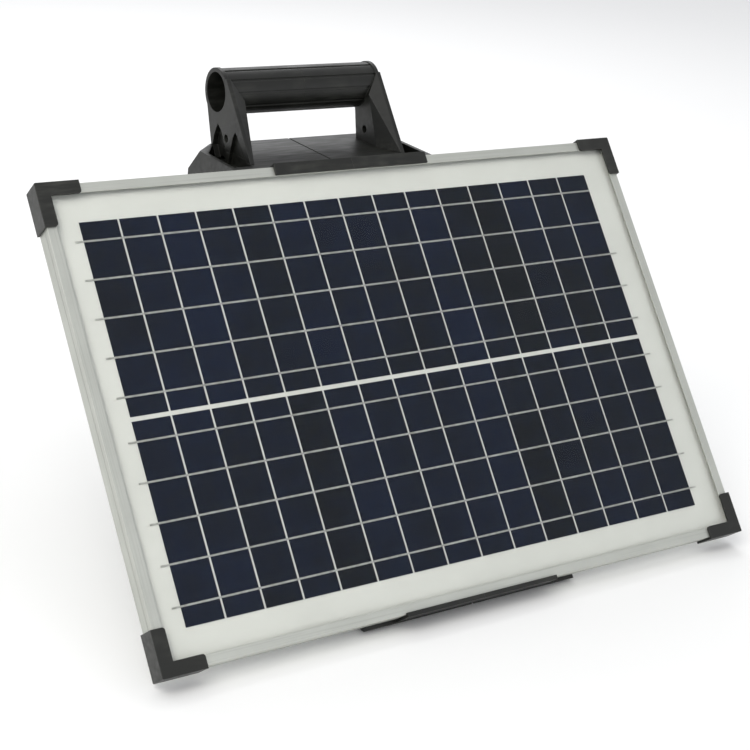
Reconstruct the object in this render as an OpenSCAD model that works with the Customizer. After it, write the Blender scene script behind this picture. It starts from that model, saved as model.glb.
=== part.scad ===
// Solar fence energizer: a moulded wedge housing with a carrying handle, a tilted solar
// module hooked to its front, a battery and pulse electronics inside, and a rear side with
// a battery door, a rotary switch and two clamping terminals.
// Millimetres, +Z up, -Y the module side. Origin: the floor, under the middle of the object.

/* [Solar module] */
// Width of the module's frame
module_w = 556; // [480:1:680]
// Height of the module's frame, measured up its slope
module_h = 378; // [340:1:460]
// Depth of the frame's side walls
module_d = 18; // [16:0.5:24]
// Tilt of the module from the floor, degrees
tilt = 50; // [44:1:56]
// Gap between the floor and the module's lowest corner
ground_gap = 4; // [3:0.5:20]
// Width of the frame's lip over the glass
lip_w = 8; // [7:0.5:12]
// Wall of the frame's extrusion
rail_t = 1.6; // [1.2:0.1:2]
// Width of the frame's back flange
flange_w = 14; // [12:0.5:18]
// Thickness of the front glass
glass_t = 3.2; // [2.5:0.1:4]
// Thickness of the film and cells under the glass
film_t = 0.8; // [0.7:0.05:1.2]
// Thickness of the white backsheet
sheet_t = 0.4; // [0.3:0.05:0.6]
// Cell strips side by side
cell_cols = 15; // [10:1:17]
// Distance from one strip to the next
cell_pitch = 33.05; // [28:0.05:36]
// Gap between neighbouring strips
cell_gap = 1.65; // [1:0.05:3]
// Length of one cell strip
cell_len = 156.75; // [125:0.25:166]
// Gap between the upper and the lower row of strips
row_gap = 3.64; // [2:0.02:8]
// Sideways offset of the cell field in the frame
cell_shift = -3; // [-5:0.5:5]
// Ribbons across each row of strips
ribbon_count = 5; // [3:1:7]
// Width of a ribbon
ribbon_w = 1.5; // [1:0.1:2.5]
// Length of ribbon that shows beside the cells
ribbon_stub = 7; // [3:0.5:10]

/* [Corner caps] */
// Length of a cap's legs
cap_leg = 36; // [28:1:50]
// Width of a cap's front face
cap_face = 11; // [9:0.5:16]
// Wall of a cap
cap_wall = 2; // [1.5:0.1:3]

/* [Housing] */
// Distance up the slope from the module's top hook to the housing's top edge
top_over = 4; // [3:0.5:20]
// Width of the housing at its top
housing_top_w = 196; // [190:1:240]
// Width of the housing at its base
housing_base_w = 207; // [200:1:250]
// Depth of the flat top, front to back
top_d = 87; // [84:1:120]
// Wall of the housing
wall = 3.5; // [3:0.1:4.5]
// Size of the cut rear top corners
corner_cut = 20; // [10:1:26]
// Height of the rubber feet under the base
foot_h = 3; // [2:0.5:6]
// Radius of a rubber foot
foot_r = 11; // [8:0.5:14]
// Width of the groove along the seam
seam_w = 1.6; // [1:0.1:2.4]
// Half width of the hook over the module's top edge
top_hook_hw = 74.5; // [60:0.5:84]
// Half width of the hook under the module's bottom edge
bottom_hook_hw = 73; // [60:0.5:84]
// Thickness of the hooks
hook_t = 2.2; // [2:0.1:3]
// Reach of the top hook over the frame's front
hook_lip = 8; // [5:0.5:8]
// Depth of the troughs beside the handle
trough_depth = 12; // [6:1:16]

/* [Handle] */
// Height of the grip's axis over the housing's top
grip_rise = 46.3; // [44:0.1:60]
// Distance of the grip's axis in front of the rear face
grip_back = 4.8; // [2:0.1:12]
// Outer radius of the grip
grip_r = 19.8; // [18:0.1:22]
// Radius of the bore through the grip
grip_bore_r = 17; // [12:0.1:17.2]
// Distance from the seam to the handle's end faces
handle_hw = 77; // [70:0.5:78]
// Thickness of a handle leg
leg_t = 14.8; // [12:0.1:18]
// Number of grooves round the grip
flute_count = 11; // [8:1:16]
// Radius of the locking hole in each leg
lock_hole_r = 3.5; // [2.5:0.1:4]

/* [Battery] */
// Width of the battery
battery_w = 166; // [135:1:168]
// Depth of the battery
battery_d = 165; // [120:1:167]
// Height of the battery without its posts
battery_h = 125; // [100:1:127]
// Wall of the battery case
battery_wall = 3; // [2:0.1:4]
// Thickness of the pads under the battery
pad_t = 3; // [2:0.5:4]

/* [Rear door] */
// Width of the battery door
door_w = 182; // [180:1:184]
// Height of the battery door
door_h = 146; // [143:1:148]
// Thickness of the door
door_t = 3; // [2.5:0.1:4]
// Radius of the hinge pins
hinge_pin_r = 1.5; // [1.2:0.1:2]
// Radius of the hinge knuckles
knuckle_r = 3.6; // [3.3:0.1:3.8]

/* [Controls] */
// Width of the control plate
fascia_w = 168; // [150:1:174]
// Height of the control plate
fascia_h = 84; // [76:1:88]
// Thickness of the control plate
fascia_t = 3; // [2.5:0.1:4]
// Distance of each terminal from the seam
terminal_x = 56; // [46:0.5:62]
// Radius of the terminal studs
stud_r = 4; // [3:0.5:5]
// Thread pitch of the terminal studs
stud_pitch = 1.25; // [1:0.05:1.5]
// Radius of the terminal knobs
terminal_knob_r = 13; // [11:0.5:16]
// Turns that a terminal knob can be loosened
loosen_turns = 4; // [2:1:5]
// Length of thread that a loosened knob still holds
thread_kept = 8; // [6:0.5:12]
// Radius of the switch knob
switch_r = 17; // [14:0.5:20]
// Height of the switch knob
switch_h = 15; // [12:0.5:18]
// Radius of the switch shaft
shaft_r = 3; // [2.5:0.1:4]

/* [Hidden] */
$fn = 48;
eps = 0.01;
fit = 0.3;          // gap between pieces that are placed beside each other
run = 0.05;         // radial gap of pieces that turn or slide on a shaft
open_w = 1000;      // reach of the tools that cut a piece in two
seam_gap = 0.05;    // half of the gap between the two shells

// Module stack, measured from the frame's back face
cap_hw = module_w / 2 + cap_wall;
cap_hh = module_h / 2 + cap_wall;
front_z = module_d + cap_wall;
glass_z = module_d - rail_t - glass_t;
film_z = glass_z - film_t;
sheet_z = film_z - sheet_t;
seal_w = 1.4;
stack_w = module_w - 2 * (rail_t + seal_w);
stack_h = module_h - 2 * (rail_t + seal_w);
cell_w = cell_pitch - cell_gap;
cell_t = 0.3;
ribbon_t = 0.2;
field_w = cell_cols * cell_pitch - cell_gap;
ribbon_pitch = cell_len / ribbon_count;

// Height and depth places of the housing
base_z = foot_h;
seat_z = ground_gap + cap_hh * sin(tilt);
hook_gap = 0.2;
hook_hh = module_h / 2 + hook_gap + hook_t;
top_z = seat_z + (hook_hh + top_over) * sin(tilt);
hook_z = module_d + hook_gap + hook_t;
front_reach = max(cap_hh, hook_hh) * cos(tilt) + max(front_z, hook_z) * sin(tilt);
seat_to_rear = (top_z - seat_z) / tan(tilt) + top_d;
washer_t = 1.6;
collar_h = 4;
bore_spare = 1;     // free end of a knob's blind bore
knob_end_t = 2;     // closed end of a knob
stud_out = loosen_turns * stud_pitch + thread_kept;
terminal_knob_l = stud_out + bore_spare + knob_end_t;
knob_reach = fascia_t + collar_h + washer_t + terminal_knob_l;
seat_y = (front_reach - seat_to_rear - knob_reach) / 2;
rear_y = seat_y + seat_to_rear;
top_hw = housing_top_w / 2;
base_hw = housing_base_w / 2;
grip_y = rear_y - grip_back;
grip_z = top_z + grip_rise;
leg_in = handle_hw - leg_t;
end_plate_t = 3.5;
flute_w = 2.2;
flute_depth = 0.9;
flute_phase = 0.3;

// Outer edge of the troughs beside the handle's end faces
trough_x1 = top_hw - wall - 0.2;

// Battery bay
bay_gap = 9;        // free depth between the battery and the rear wall
battery_y1 = rear_y - wall - bay_gap;
battery_y0 = battery_y1 - battery_d;
battery_z0 = base_z + wall + pad_t;
battery_top = battery_z0 + battery_h;
battery_lid_t = 6;
plate_gap = 5;      // acid space beside a plate stack
post_x = battery_w / 2 - 22;
post_y = battery_y1 - 24;
post_h = 9;
strap_w = 24;
strap_t = 1.5;
strap_y = battery_y0 + battery_d / 2;
strap_hx = battery_w / 2 + 2 * fit;
strap_foot = 13;
strap_screw_x = strap_hx + 7.5;
strap_screw_r = 1.6;
cleat_z = battery_z0 + 40;
cleat_h = 14;

// Rear door
door_z0 = base_z + 5;
door_gap = 0.6;
door_y = rear_y + door_gap;
door_lap = 6;       // how far the door laps over the wall round its opening
door_open_w = door_w - 2 * door_lap;
door_open_h = door_h - 2 * door_lap;
door_open_z = door_z0 + door_lap;
flange_gap = 1.5;   // gap between the door's flange and the opening
hinge_x = -(door_w / 2 + knuckle_r + 0.4);
hinge_y = rear_y + knuckle_r + 0.3;
knuckle_l = 14;
ear_l = 8;
hinge_zs = [door_z0 + 28, door_z0 + door_h - 28];

// Control plate
fascia_z = top_z - 30 - fascia_h / 2;
fascia_open_w = fascia_w - 16;
fascia_open_h = fascia_h - 16;
fascia_y = rear_y + fascia_t;
terminal_z = fascia_z - 4;
switch_z = fascia_z - 10;
lens_z = fascia_z + fascia_h / 2 - 13;
lens_r = 2.5;
lens_xs = [-16, 0, 16];
clamp_y = fascia_y + collar_h;
stud_in = 22;

// Circuit board behind the control plate
board_w = 136;
board_h = 62;
board_t = 1.6;
board_y = rear_y - 34;
board_post_x = board_w / 2 - 6;
board_post_z = board_h / 2 - 6;
board_screw_r = 1.45;
plate_screw_x = fascia_w / 2 - 4;
plate_screw_z = fascia_h / 2 - 4;
plate_screw_r = 1.4;
switch_neck_r = 4.6;
nut_r = 1.85 * stud_r;
nut_h = 6;
washer_r = 9.5;
collar_r = 10;

// Screws that hold the shells together, as [y, z]: front foot, in front of the battery,
// under the module's wiring, behind the module's top, over and under the control plate
low_screw_z = base_z + 14;
mid_screw_z = seat_z - 29;
high_screw_z = top_z - 44;
shell_screw_at = [[seat_line(base_z) + 40, low_screw_z], [battery_y0 - 29, low_screw_z],
    [seat_line(mid_screw_z) + 12, mid_screw_z], [seat_line(high_screw_z) + 18, high_screw_z],
    [rear_y - 13, top_z - 12],
    [rear_y - 10, (fascia_z - fascia_open_h / 2 + door_open_z + door_open_h) / 2]];
tower_r = 6;
shell_screw_r = 2;
head_x = 12;

// Y on the plane of the module's seat at height z
function seat_line(z) = seat_y + (z - seat_z) / tan(tilt);

// Outline of the wedge in Y and Z, pulled in by t
function wedge_pts(t) = [
    [seat_line(base_z + t) + t / sin(tilt), base_z + t],
    [rear_y - t, base_z + t],
    [rear_y - t, top_z - t],
    [seat_line(top_z - t) + t / sin(tilt), top_z - t]];

// Outline of the housing's width in X and Z, pulled in by t
function width_pts(t) = [
    [-base_hw + t, base_z + t], [base_hw - t, base_z + t],
    [top_hw - t, top_z - t], [-top_hw + t, top_z - t]];

// Catmull-Rom point between p1 and p2
function curve_at(p0, p1, p2, p3, s) =
    0.5 * (2 * p1 + (p2 - p0) * s + (2 * p0 - 5 * p1 + 4 * p2 - p3) * s * s
    + (3 * p1 - p0 - 3 * p2 + p3) * s * s * s);

// A smooth route through the given points, with steps rings between two of them
function route(p, steps) = [
    for (i = [0 : len(p) - 2], k = [0 : steps - 1])
        curve_at(p[max(i - 1, 0)], p[i], p[i + 1], p[min(i + 2, len(p) - 1)], k / steps),
    p[len(p) - 1]];

function unit(v) = v / norm(v);

// Two directions square to the route at each ring, carried along without twist
function carried(dirs, i, u) = i >= len(dirs) ? [] :
    let (n = unit(u - (u * dirs[i]) * dirs[i])) concat([n], carried(dirs, i + 1, n));

// A round lead swept along a route
module lead(points, r, steps = 4, sides = 8) {
    path = route(points, steps);
    last = len(path) - 1;
    dirs = [for (i = [0 : last]) unit(path[min(i + 1, last)] - path[max(i - 1, 0)])];
    start = abs(dirs[0].z) < 0.9 ? [0, 0, 1] : [1, 0, 0];
    us = carried(dirs, 0, start);
    pts = [for (i = [0 : last], k = [0 : sides - 1])
        path[i] + r * (cos(360 * k / sides) * us[i]
        + sin(360 * k / sides) * cross(dirs[i], us[i]))];
    walls = [for (i = [0 : last - 1], k = [0 : sides - 1])
        [i * sides + k, i * sides + (k + 1) % sides,
        (i + 1) * sides + (k + 1) % sides, (i + 1) * sides + k]];
    first_end = [for (k = [0 : sides - 1]) sides - 1 - k];
    last_end = [for (k = [0 : sides - 1]) last * sides + k];
    polyhedron(pts, concat([first_end], walls, [last_end]));
}

// Places children in the module's own axes: x right, y up the slope, z out of the glass
module on_seat() {
    translate([0, seat_y, seat_z]) rotate([tilt, 0, 0]) children();
}

// Draws a YZ outline and extrudes it from x0 to x1
module along_x(x0, x1) {
    translate([x0, 0, 0]) rotate([90, 0, 90]) linear_extrude(x1 - x0) children();
}

// Draws an XZ outline and extrudes it from y0 to y1
module along_y(y0, y1) {
    translate([0, y1, 0]) rotate([90, 0, 0]) linear_extrude(y1 - y0) children();
}

module box(lo, hi) {
    translate(lo) cube(hi - lo);
}

// A cylinder along X from x0 to x1
module rod_x(r, x0, x1) {
    translate([x0, 0, 0]) rotate([0, 90, 0]) cylinder(r = r, h = x1 - x0);
}

// A cylinder along Y from y0 to y1
module rod_y(r, y0, y1) {
    translate([0, y1, 0]) rotate([90, 0, 0]) cylinder(r = r, h = y1 - y0);
}

module round_rect(w, h, r) {
    square([w - 2 * r, h], center = true);
    square([w, h - 2 * r], center = true);
    for (sx = [-1, 1], sy = [-1, 1])
        translate([sx * (w / 2 - r), sy * (h / 2 - r)]) circle(r = r);
}

// ---------- housing ----------

module wedge(t) {
    intersection() {
        along_x(-base_hw, base_hw) polygon(wedge_pts(t));
        along_y(seat_line(base_z) - 1, rear_y + 1) polygon(width_pts(t));
    }
}

// Cuts the two rear top corners at the same slope in all three directions
module corner_cuts() {
    for (side = [-1, 1])
        translate([side * (top_hw - corner_cut), rear_y, top_z])
            rotate([0, 0, side > 0 ? 45 : 135])
                rotate([0, acos(1 / sqrt(3)) + 180, 0])
                    translate([-60, -60, -60]) cube([120, 120, 60]);
}

// Outline of a handle leg's outer plate, from the top face up
leg_outer = [
    [rear_y - 72, top_z], [rear_y, top_z],
    [grip_y + grip_r - 0.3, grip_z - 1],
    [grip_y - grip_r * sin(tilt) - 2, grip_z + grip_r * cos(tilt) + 2]];

// Outline of a handle leg at its inner face
leg_inner = [
    [rear_y - 48.5, top_z], [rear_y - 14, top_z],
    [rear_y - 9, grip_z - grip_r + 2], [grip_y - grip_r - 5, grip_z - 3]];

module handle_leg(side) {
    plate_in = handle_hw - end_plate_t;
    hull() {
        along_x(side > 0 ? leg_in : -leg_in - 0.2, side > 0 ? leg_in + 0.2 : -leg_in)
            polygon(leg_inner);
        along_x(side > 0 ? plate_in : -handle_hw, side > 0 ? handle_hw : -plate_in)
            polygon(leg_outer);
    }
    translate([0, grip_y, grip_z]) rod_x(grip_r + 0.8, side > 0 ? plate_in : -handle_hw,
        side > 0 ? handle_hw : -plate_in);
}

// Two triangular pockets in a leg's outer face with a rib between them. They run down
// into the trough. Points: [y from the rear, z over the top face].
rear_pocket = [[-10.5, 20.5], [-4.5, 8.9], [-2.8, 0], [-9, -10], [-29.5, -10], [-28, -4],
    [-25, 4.5], [-21.3, 10.3], [-17.6, 15.5]];
front_pocket = [[-42.5, 20.5], [-38.7, 15.3], [-36.4, 6.9], [-33.5, -3.5], [-32, -10],
    [-68, -10], [-66, -2], [-58, 7], [-51, 13]];
rear_pocket_depth = 5;
front_pocket_depth = 3.5;
lock_hole_at = [-26.8, 11];

module leg_pockets() {
    for (side = [0, 1]) mirror([side, 0, 0])
        translate([0, rear_y, top_z]) {
            along_x(handle_hw - rear_pocket_depth, handle_hw + 1) polygon(rear_pocket);
            along_x(handle_hw - front_pocket_depth, handle_hw + 1) polygon(front_pocket);
        }
}

// Fluted grip between the legs' outer plates
module grip() {
    half = handle_hw - end_plate_t;
    translate([0, grip_y, grip_z]) difference() {
        rod_x(grip_r, -half - eps, half + eps);
        for (i = [0 : flute_count - 1])
            rotate([360 * (i + flute_phase) / flute_count, 0, 0])
                box([-half, grip_r - flute_depth, -flute_w / 2], [half, grip_r + 1, flute_w / 2]);
    }
}

module grip_bore() {
    translate([0, grip_y, grip_z]) rod_x(grip_bore_r, -handle_hw - 1, handle_hw + 1);
}

module hooks() {
    edge = hook_hh - hook_t;
    front = hook_z - hook_t;
    difference() {
        on_seat() {
            box([-top_hook_hw, edge, -wall], [top_hook_hw, hook_hh, hook_z]);
            box([-top_hook_hw, edge - hook_lip, front], [top_hook_hw, hook_hh, hook_z]);
            box([-bottom_hook_hw, -hook_hh, -wall], [bottom_hook_hw, -edge, hook_z]);
            box([-bottom_hook_hw, -hook_hh, front], [bottom_hook_hw, -edge + 1.4, hook_z]);
        }
        box([-open_w, -open_w, -open_w], [open_w, open_w, base_z]);
    }
}

// Plan of the trough beside a handle leg, with a slanted rear end
trough_plan = [[handle_hw, rear_y - 3], [trough_x1, rear_y - 29],
    [trough_x1, rear_y - 76], [handle_hw, rear_y - 76]];
trough_block = [[leg_in, rear_y - 1], [top_hw - 1, rear_y - 1],
    [top_hw - 1, rear_y - 79], [leg_in, rear_y - 79]];

module troughs() {
    for (side = [0, 1]) mirror([side, 0, 0])
        translate([0, 0, top_z - trough_depth])
            linear_extrude(trough_depth + 1) polygon(trough_plan);
}

// Solid that closes the troughs and the feet of the legs from below
module trough_blocks() {
    for (side = [0, 1]) mirror([side, 0, 0])
        translate([0, 0, top_z - trough_depth - 3])
            linear_extrude(trough_depth + 2) polygon(trough_block);
}

// Ledges that the strap's feet are screwed to, and ribs that locate the battery
module cleats() {
    x0 = battery_w / 2 + 2 * fit;
    for (side = [0, 1]) mirror([side, 0, 0]) {
        box([x0, strap_y - strap_w / 2 - 3, cleat_z - cleat_h],
            [base_hw - 1, strap_y + strap_w / 2 + 3, cleat_z]);
        for (y = [battery_y0 + 12, battery_y1 - 22])
            box([x0, y, base_z + 1], [x0 + 2.5, y + 10, battery_z0 + 22]);
    }
}

module towers() {
    for (p = shell_screw_at)
        translate([0, p.x, p.y]) rod_x(tower_r, -base_hw, base_hw);
}

module tower_bores() {
    for (p = shell_screw_at)
        translate([0, p.x, p.y]) {
            rod_x(tower_r - 1.6, head_x, base_hw + 1);
            rod_x(shell_screw_r, -20, head_x + 1);
            rod_x(tower_r - 1.6, -base_hw + wall + 4, -20 + eps);
        }
}

module seam_ring(t0, t1, half) {
    difference() {
        along_x(-half, half) polygon(wedge_pts(t0));
        along_x(-half - 1, half + 1) polygon(wedge_pts(t1));
    }
}

// Openings cut through the walls of both shells
module wall_openings() {
    box([-door_open_w / 2, rear_y - wall - 3, door_open_z],
        [door_open_w / 2, rear_y + 1, door_open_z + door_open_h]);
    box([-fascia_open_w / 2, rear_y - wall - 3, fascia_z - fascia_open_h / 2],
        [fascia_open_w / 2, rear_y + 1, fascia_z + fascia_open_h / 2]);
    on_seat() box([-jbox_w / 2 - 4, jbox_y - jbox_h / 2 - 26, -wall - 3],
        [jbox_w / 2 + 4, jbox_y + jbox_h / 2 + 4, 1]);
}

// Ears on the left shell that hold the door's hinge pins
module hinge_ears() {
    for (z = hinge_zs, up = [-1, 1]) {
        z0 = up > 0 ? z + knuckle_l / 2 + fit : z - knuckle_l / 2 - fit - ear_l;
        difference() {
            union() {
                translate([hinge_x, hinge_y, z0]) cylinder(r = knuckle_r, h = ear_l);
                box([hinge_x - knuckle_r, rear_y - 1, z0], [hinge_x + knuckle_r, hinge_y, z0 + ear_l]);
            }
            translate([hinge_x, hinge_y, z0 - 1]) cylinder(r = hinge_pin_r, h = ear_l + 2);
        }
    }
}

// Both handle halves: legs and grip over the housing's top
module handle_solid() {
    difference() {
        union() {
            handle_leg(-1);
            handle_leg(1);
            grip();
        }
        leg_pockets();
        grip_bore();
        translate([0, rear_y + lock_hole_at.x, top_z + lock_hole_at.y])
            rod_x(lock_hole_r, -handle_hw - 1, handle_hw + 1);
    }
}

module shell_solid() {
    difference() {
        union() {
            difference() {
                union() {
                    difference() {
                        wedge(0);
                        wedge(wall);
                    }
                    intersection() {
                        wedge(0);
                        union() {
                            towers();
                            cleats();
                            trough_blocks();
                        }
                    }
                }
                corner_cuts();
            }
            corner_walls();
            hooks();
        }
        troughs();
        leg_pockets();
        wall_openings();
        tower_bores();
        seam_ring(1.5, 2.9, seam_w / 2);
        seam_ring(-1, 0.8, seam_w / 2);
        for (side = [-1, 1]) {
            translate([side * strap_screw_x, strap_y, cleat_z - 11])
                cylinder(r = strap_screw_r, h = 12);
            for (up = [-1, 1])
                translate([side * plate_screw_x, 0, fascia_z + up * plate_screw_z])
                    rod_y(plate_screw_r, rear_y - wall - 1, rear_y + 1);
        }
    }
}

// Inner skin that closes the cut rear top corners
module corner_walls() {
    intersection() {
        difference() {
            wedge(0);
            corner_cuts();
        }
        for (side = [-1, 1])
            translate([side * (top_hw - corner_cut - wall * sqrt(3)), rear_y, top_z])
                rotate([0, 0, side > 0 ? 45 : 135])
                    rotate([0, acos(1 / sqrt(3)) + 180, 0])
                        translate([-60, -60, -60]) cube([120, 120, 60]);
    }
}

// Keeps what is on one side of the seam
module half(side) {
    intersection() {
        children();
        box([side > 0 ? seam_gap : -open_w, -open_w, -open_w],
            [side > 0 ? open_w : -seam_gap, open_w, open_w]);
    }
}

module housing_left() {
    color("#1d1e1f") {
        half(-1) shell_solid();
        hinge_ears();
    }
}

module housing_right() {
    color("#1d1e1f") half(1) shell_solid();
}

module handle_left() {
    color("#202122") half(-1) handle_solid();
}

module handle_right() {
    color("#202122") half(1) handle_solid();
}

module seam_gasket() {
    color("#2b2b2b") difference() {
        seam_ring(1.5, 2.9, seam_w / 2 - seam_gap);
        wall_openings();
        tower_bores();
    }
}

module shell_screws() {
    color("#b8babd") for (p = shell_screw_at)
        translate([0, p.x, p.y]) difference() {
            union() {
                rod_x(shell_screw_r - 0.02, -17, head_x + 1);
                rod_x(3.8, head_x + eps, head_x + 3);
            }
            translate([head_x + 1.2, 0, 0]) rotate([0, 90, 0]) cylinder(r = 1.6, h = 3, $fn = 6);
        }
}

module base_feet() {
    color("#262626") for (side = [-1, 1], y = [seat_line(base_z) + 34, rear_y - 26])
        translate([side * (base_hw - 22), y, 0]) cylinder(r1 = foot_r - 1, r2 = foot_r, h = foot_h);
}

// ---------- solar module ----------

// Cross-section of the frame: x is 0 at the outer edge and negative inwards, y is the depth
module rail_profile() {
    slot_h = module_d - rail_t - sheet_z;
    difference() {
        union() {
            translate([-lip_w, 0]) square([lip_w, module_d]);
            translate([-flange_w, 0]) square([flange_w, rail_t]);
        }
        translate([-lip_w - 1, sheet_z]) square([lip_w + 1 - rail_t, slot_h]);
        translate([-lip_w + rail_t, rail_t])
            square([lip_w - 2 * rail_t, sheet_z - 2 * rail_t]);
        translate([-0.35, module_d - 6.5]) square([1, 0.8]);
    }
}

// A frame rail along X with its outer edge at y = 0 and mitred ends
module rail(length) {
    intersection() {
        along_x(-length / 2, length / 2) rail_profile();
        linear_extrude(module_d)
            polygon([[-length / 2, 0], [length / 2, 0],
                [length / 2 - flange_w, -flange_w], [flange_w - length / 2, -flange_w]]);
    }
}

module rail_top() {
    color("#c9cbc8") on_seat() translate([0, module_h / 2, 0]) rail(module_w);
}

module rail_bottom() {
    color("#c9cbc8") on_seat() rotate([0, 0, 180]) translate([0, module_h / 2, 0]) rail(module_w);
}

module rail_left() {
    color("#c9cbc8") on_seat() rotate([0, 0, 90]) translate([0, module_w / 2, 0]) rail(module_h);
}

module rail_right() {
    color("#c9cbc8") on_seat() rotate([0, 0, -90]) translate([0, module_w / 2, 0]) rail(module_h);
}

// L keys pressed into the hollow chambers at the four mitres
module corner_keys() {
    key_l = 24;
    inset = rail_t + 0.1;
    key_w = lip_w - 2 * rail_t - 0.2;
    key_z = rail_t + 0.1;
    key_h = sheet_z - 2 * rail_t - 0.2;
    color("#8d9092") on_seat() for (sx = [-1, 1], sy = [-1, 1])
        translate([sx * (module_w / 2 - inset), sy * (module_h / 2 - inset), key_z]) {
            box([sx > 0 ? -key_l : 0, sy > 0 ? -key_w : 0, 0],
                [sx > 0 ? 0 : key_l, sy > 0 ? 0 : key_w, key_h]);
            box([sx > 0 ? -key_w : 0, sy > 0 ? -key_l : 0, 0],
                [sx > 0 ? 0 : key_w, sy > 0 ? 0 : key_l, key_h]);
        }
}

module corner_caps() {
    for (sx = [-1, 1], sy = [-1, 1]) corner_cap(sx, sy);
}

// A moulded cap over one corner of the frame, drawn for the top right corner
module corner_cap(sx, sy) {
    r = 2.4;
    color("#1b1c1c") on_seat() mirror([sx > 0 ? 0 : 1, 0, 0]) mirror([0, sy > 0 ? 0 : 1, 0])
        translate([cap_hw, cap_hh, 0]) difference() {
            union() {
                translate([0, 0, front_z - cap_wall + 0.1]) linear_extrude(cap_wall - 0.1) {
                    translate([-cap_leg, -cap_face]) cap_leg_outline(cap_leg, cap_face, r);
                    mirror([1, -1, 0]) translate([-cap_leg, -cap_face])
                        cap_leg_outline(cap_leg, cap_face, r);
                }
                along_x(-cap_leg, 0) cap_side_outline(r);
                mirror([1, -1, 0]) along_x(-cap_leg, 0) cap_side_outline(r);
            }
            translate([0, 0, -1]) linear_extrude(front_z + 2) difference() {
                translate([-1, -1]) square(2);
                translate([-1, -1]) circle(r = 1);
                translate([-2, -2]) square([1, 3]);
                translate([-2, -2]) square([3, 1]);
            }
        }
}

// Front outline of one leg, with its free end rounded
module cap_leg_outline(l, w, r) {
    translate([r, 0]) square([l - r, w]);
    translate([0, r]) square([r + 1, w - r]);
    translate([r, r]) circle(r = r);
}

// Section of a leg's outer side wall
module cap_side_outline(r) {
    translate([-cap_wall + 0.1, 0]) square([cap_wall - 0.1, front_z]);
}

module front_glass() {
    color("#dfe8ea", 0.35) on_seat()
        box([-stack_w / 2, -stack_h / 2, glass_z], [stack_w / 2, stack_h / 2, glass_z + glass_t]);
}

// Centre of the strip in column c (from 0) and row r (0 lower, 1 upper)
function strip_x(c) = cell_shift - field_w / 2 + cell_w / 2 + c * cell_pitch;
function strip_y(r) = (r - 0.5) * (cell_len + row_gap);

module solar_cells() {
    color("#171b2c") on_seat() for (c = [0 : cell_cols - 1], r = [0, 1])
        translate([strip_x(c), strip_y(r), film_z + 0.1])
            box([-cell_w / 2, -cell_len / 2, 0], [cell_w / 2, cell_len / 2, cell_t]);
}

// Ribbons over the strips. The two uppermost have no free end on the right.
module cell_ribbons() {
    z = film_z + 0.1 + cell_t;
    color("#c3c5c4") on_seat() for (r = [0, 1], i = [0 : ribbon_count - 1]) {
        right_stub = r == 1 && i >= ribbon_count - 2 ? 0 : ribbon_stub;
        y = strip_y(r) - cell_len / 2 + ribbon_pitch * (i + 0.5);
        box([cell_shift - field_w / 2 - ribbon_stub, y - ribbon_w / 2, z],
            [cell_shift + field_w / 2 + right_stub, y + ribbon_w / 2, z + ribbon_t]);
    }
}

module backsheet() {
    color("#dcdcd6") on_seat()
        box([-stack_w / 2, -stack_h / 2, sheet_z], [stack_w / 2, stack_h / 2, sheet_z + sheet_t]);
}

module glass_seal() {
    z0 = sheet_z + 0.05;
    z1 = module_d - rail_t - 0.05;
    edge = seal_w - 0.05;
    color("#3a3a3a") on_seat() difference() {
        box([-stack_w / 2 - edge, -stack_h / 2 - edge, z0],
            [stack_w / 2 + edge, stack_h / 2 + edge, z1]);
        box([-stack_w / 2 - run, -stack_h / 2 - run, z0 - 1],
            [stack_w / 2 + run, stack_h / 2 + run, z1 + 1]);
    }
}

// ---------- module wiring ----------

jbox_w = 92;
jbox_h = 60;
jbox_y = 50;
jbox_t = 2;
jbox_depth = 13;
lead_r = 2.2;
gland_r = 3.95;
gland_z = sheet_z - jbox_depth / 2 - 1;

module junction_box() {
    color("#222324") on_seat() difference() {
        box([-jbox_w / 2, jbox_y - jbox_h / 2, sheet_z - jbox_depth],
            [jbox_w / 2, jbox_y + jbox_h / 2, sheet_z]);
        box([-jbox_w / 2 + jbox_t, jbox_y - jbox_h / 2 + jbox_t, sheet_z - jbox_depth - 1],
            [jbox_w / 2 - jbox_t, jbox_y + jbox_h / 2 - jbox_t, sheet_z - jbox_t]);
        for (sx = [-1, 1])
            box([sx * 30 - 3, jbox_y - 8, sheet_z - jbox_t - 1], [sx * 30 + 3, jbox_y + 8, sheet_z + 1]);
        translate([0, 0, gland_z])
            rod_y(gland_r + run, jbox_y - jbox_h / 2 - 1, jbox_y - jbox_h / 2 + jbox_t + 1);
    }
}

module junction_lid() {
    color("#2a2b2c") on_seat() {
        box([-jbox_w / 2, jbox_y - jbox_h / 2, sheet_z - jbox_depth - 2],
            [jbox_w / 2, jbox_y + jbox_h / 2, sheet_z - jbox_depth]);
        difference() {
            box([-jbox_w / 2 + jbox_t + 0.2, jbox_y - jbox_h / 2 + jbox_t + 0.2,
                    sheet_z - jbox_depth - eps],
                [jbox_w / 2 - jbox_t - 0.2, jbox_y + jbox_h / 2 - jbox_t - 0.2,
                    sheet_z - jbox_depth + 1.5]);
            box([-jbox_w / 2 + jbox_t + 1.6, jbox_y - jbox_h / 2 + jbox_t + 1.6, sheet_z - jbox_depth - 1],
                [jbox_w / 2 - jbox_t - 1.6, jbox_y + jbox_h / 2 - jbox_t - 1.6, sheet_z - jbox_depth + 2]);
        }
    }
}

module bypass_diodes() {
    color("#3c3c3e") on_seat() for (sx = [-1, 1])
        translate([sx * 16, 0, gland_z]) {
            rod_y(2.6, jbox_y - 5, jbox_y + 5);
            rod_y(0.6, jbox_y - 12, jbox_y + 12);
        }
}

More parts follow.
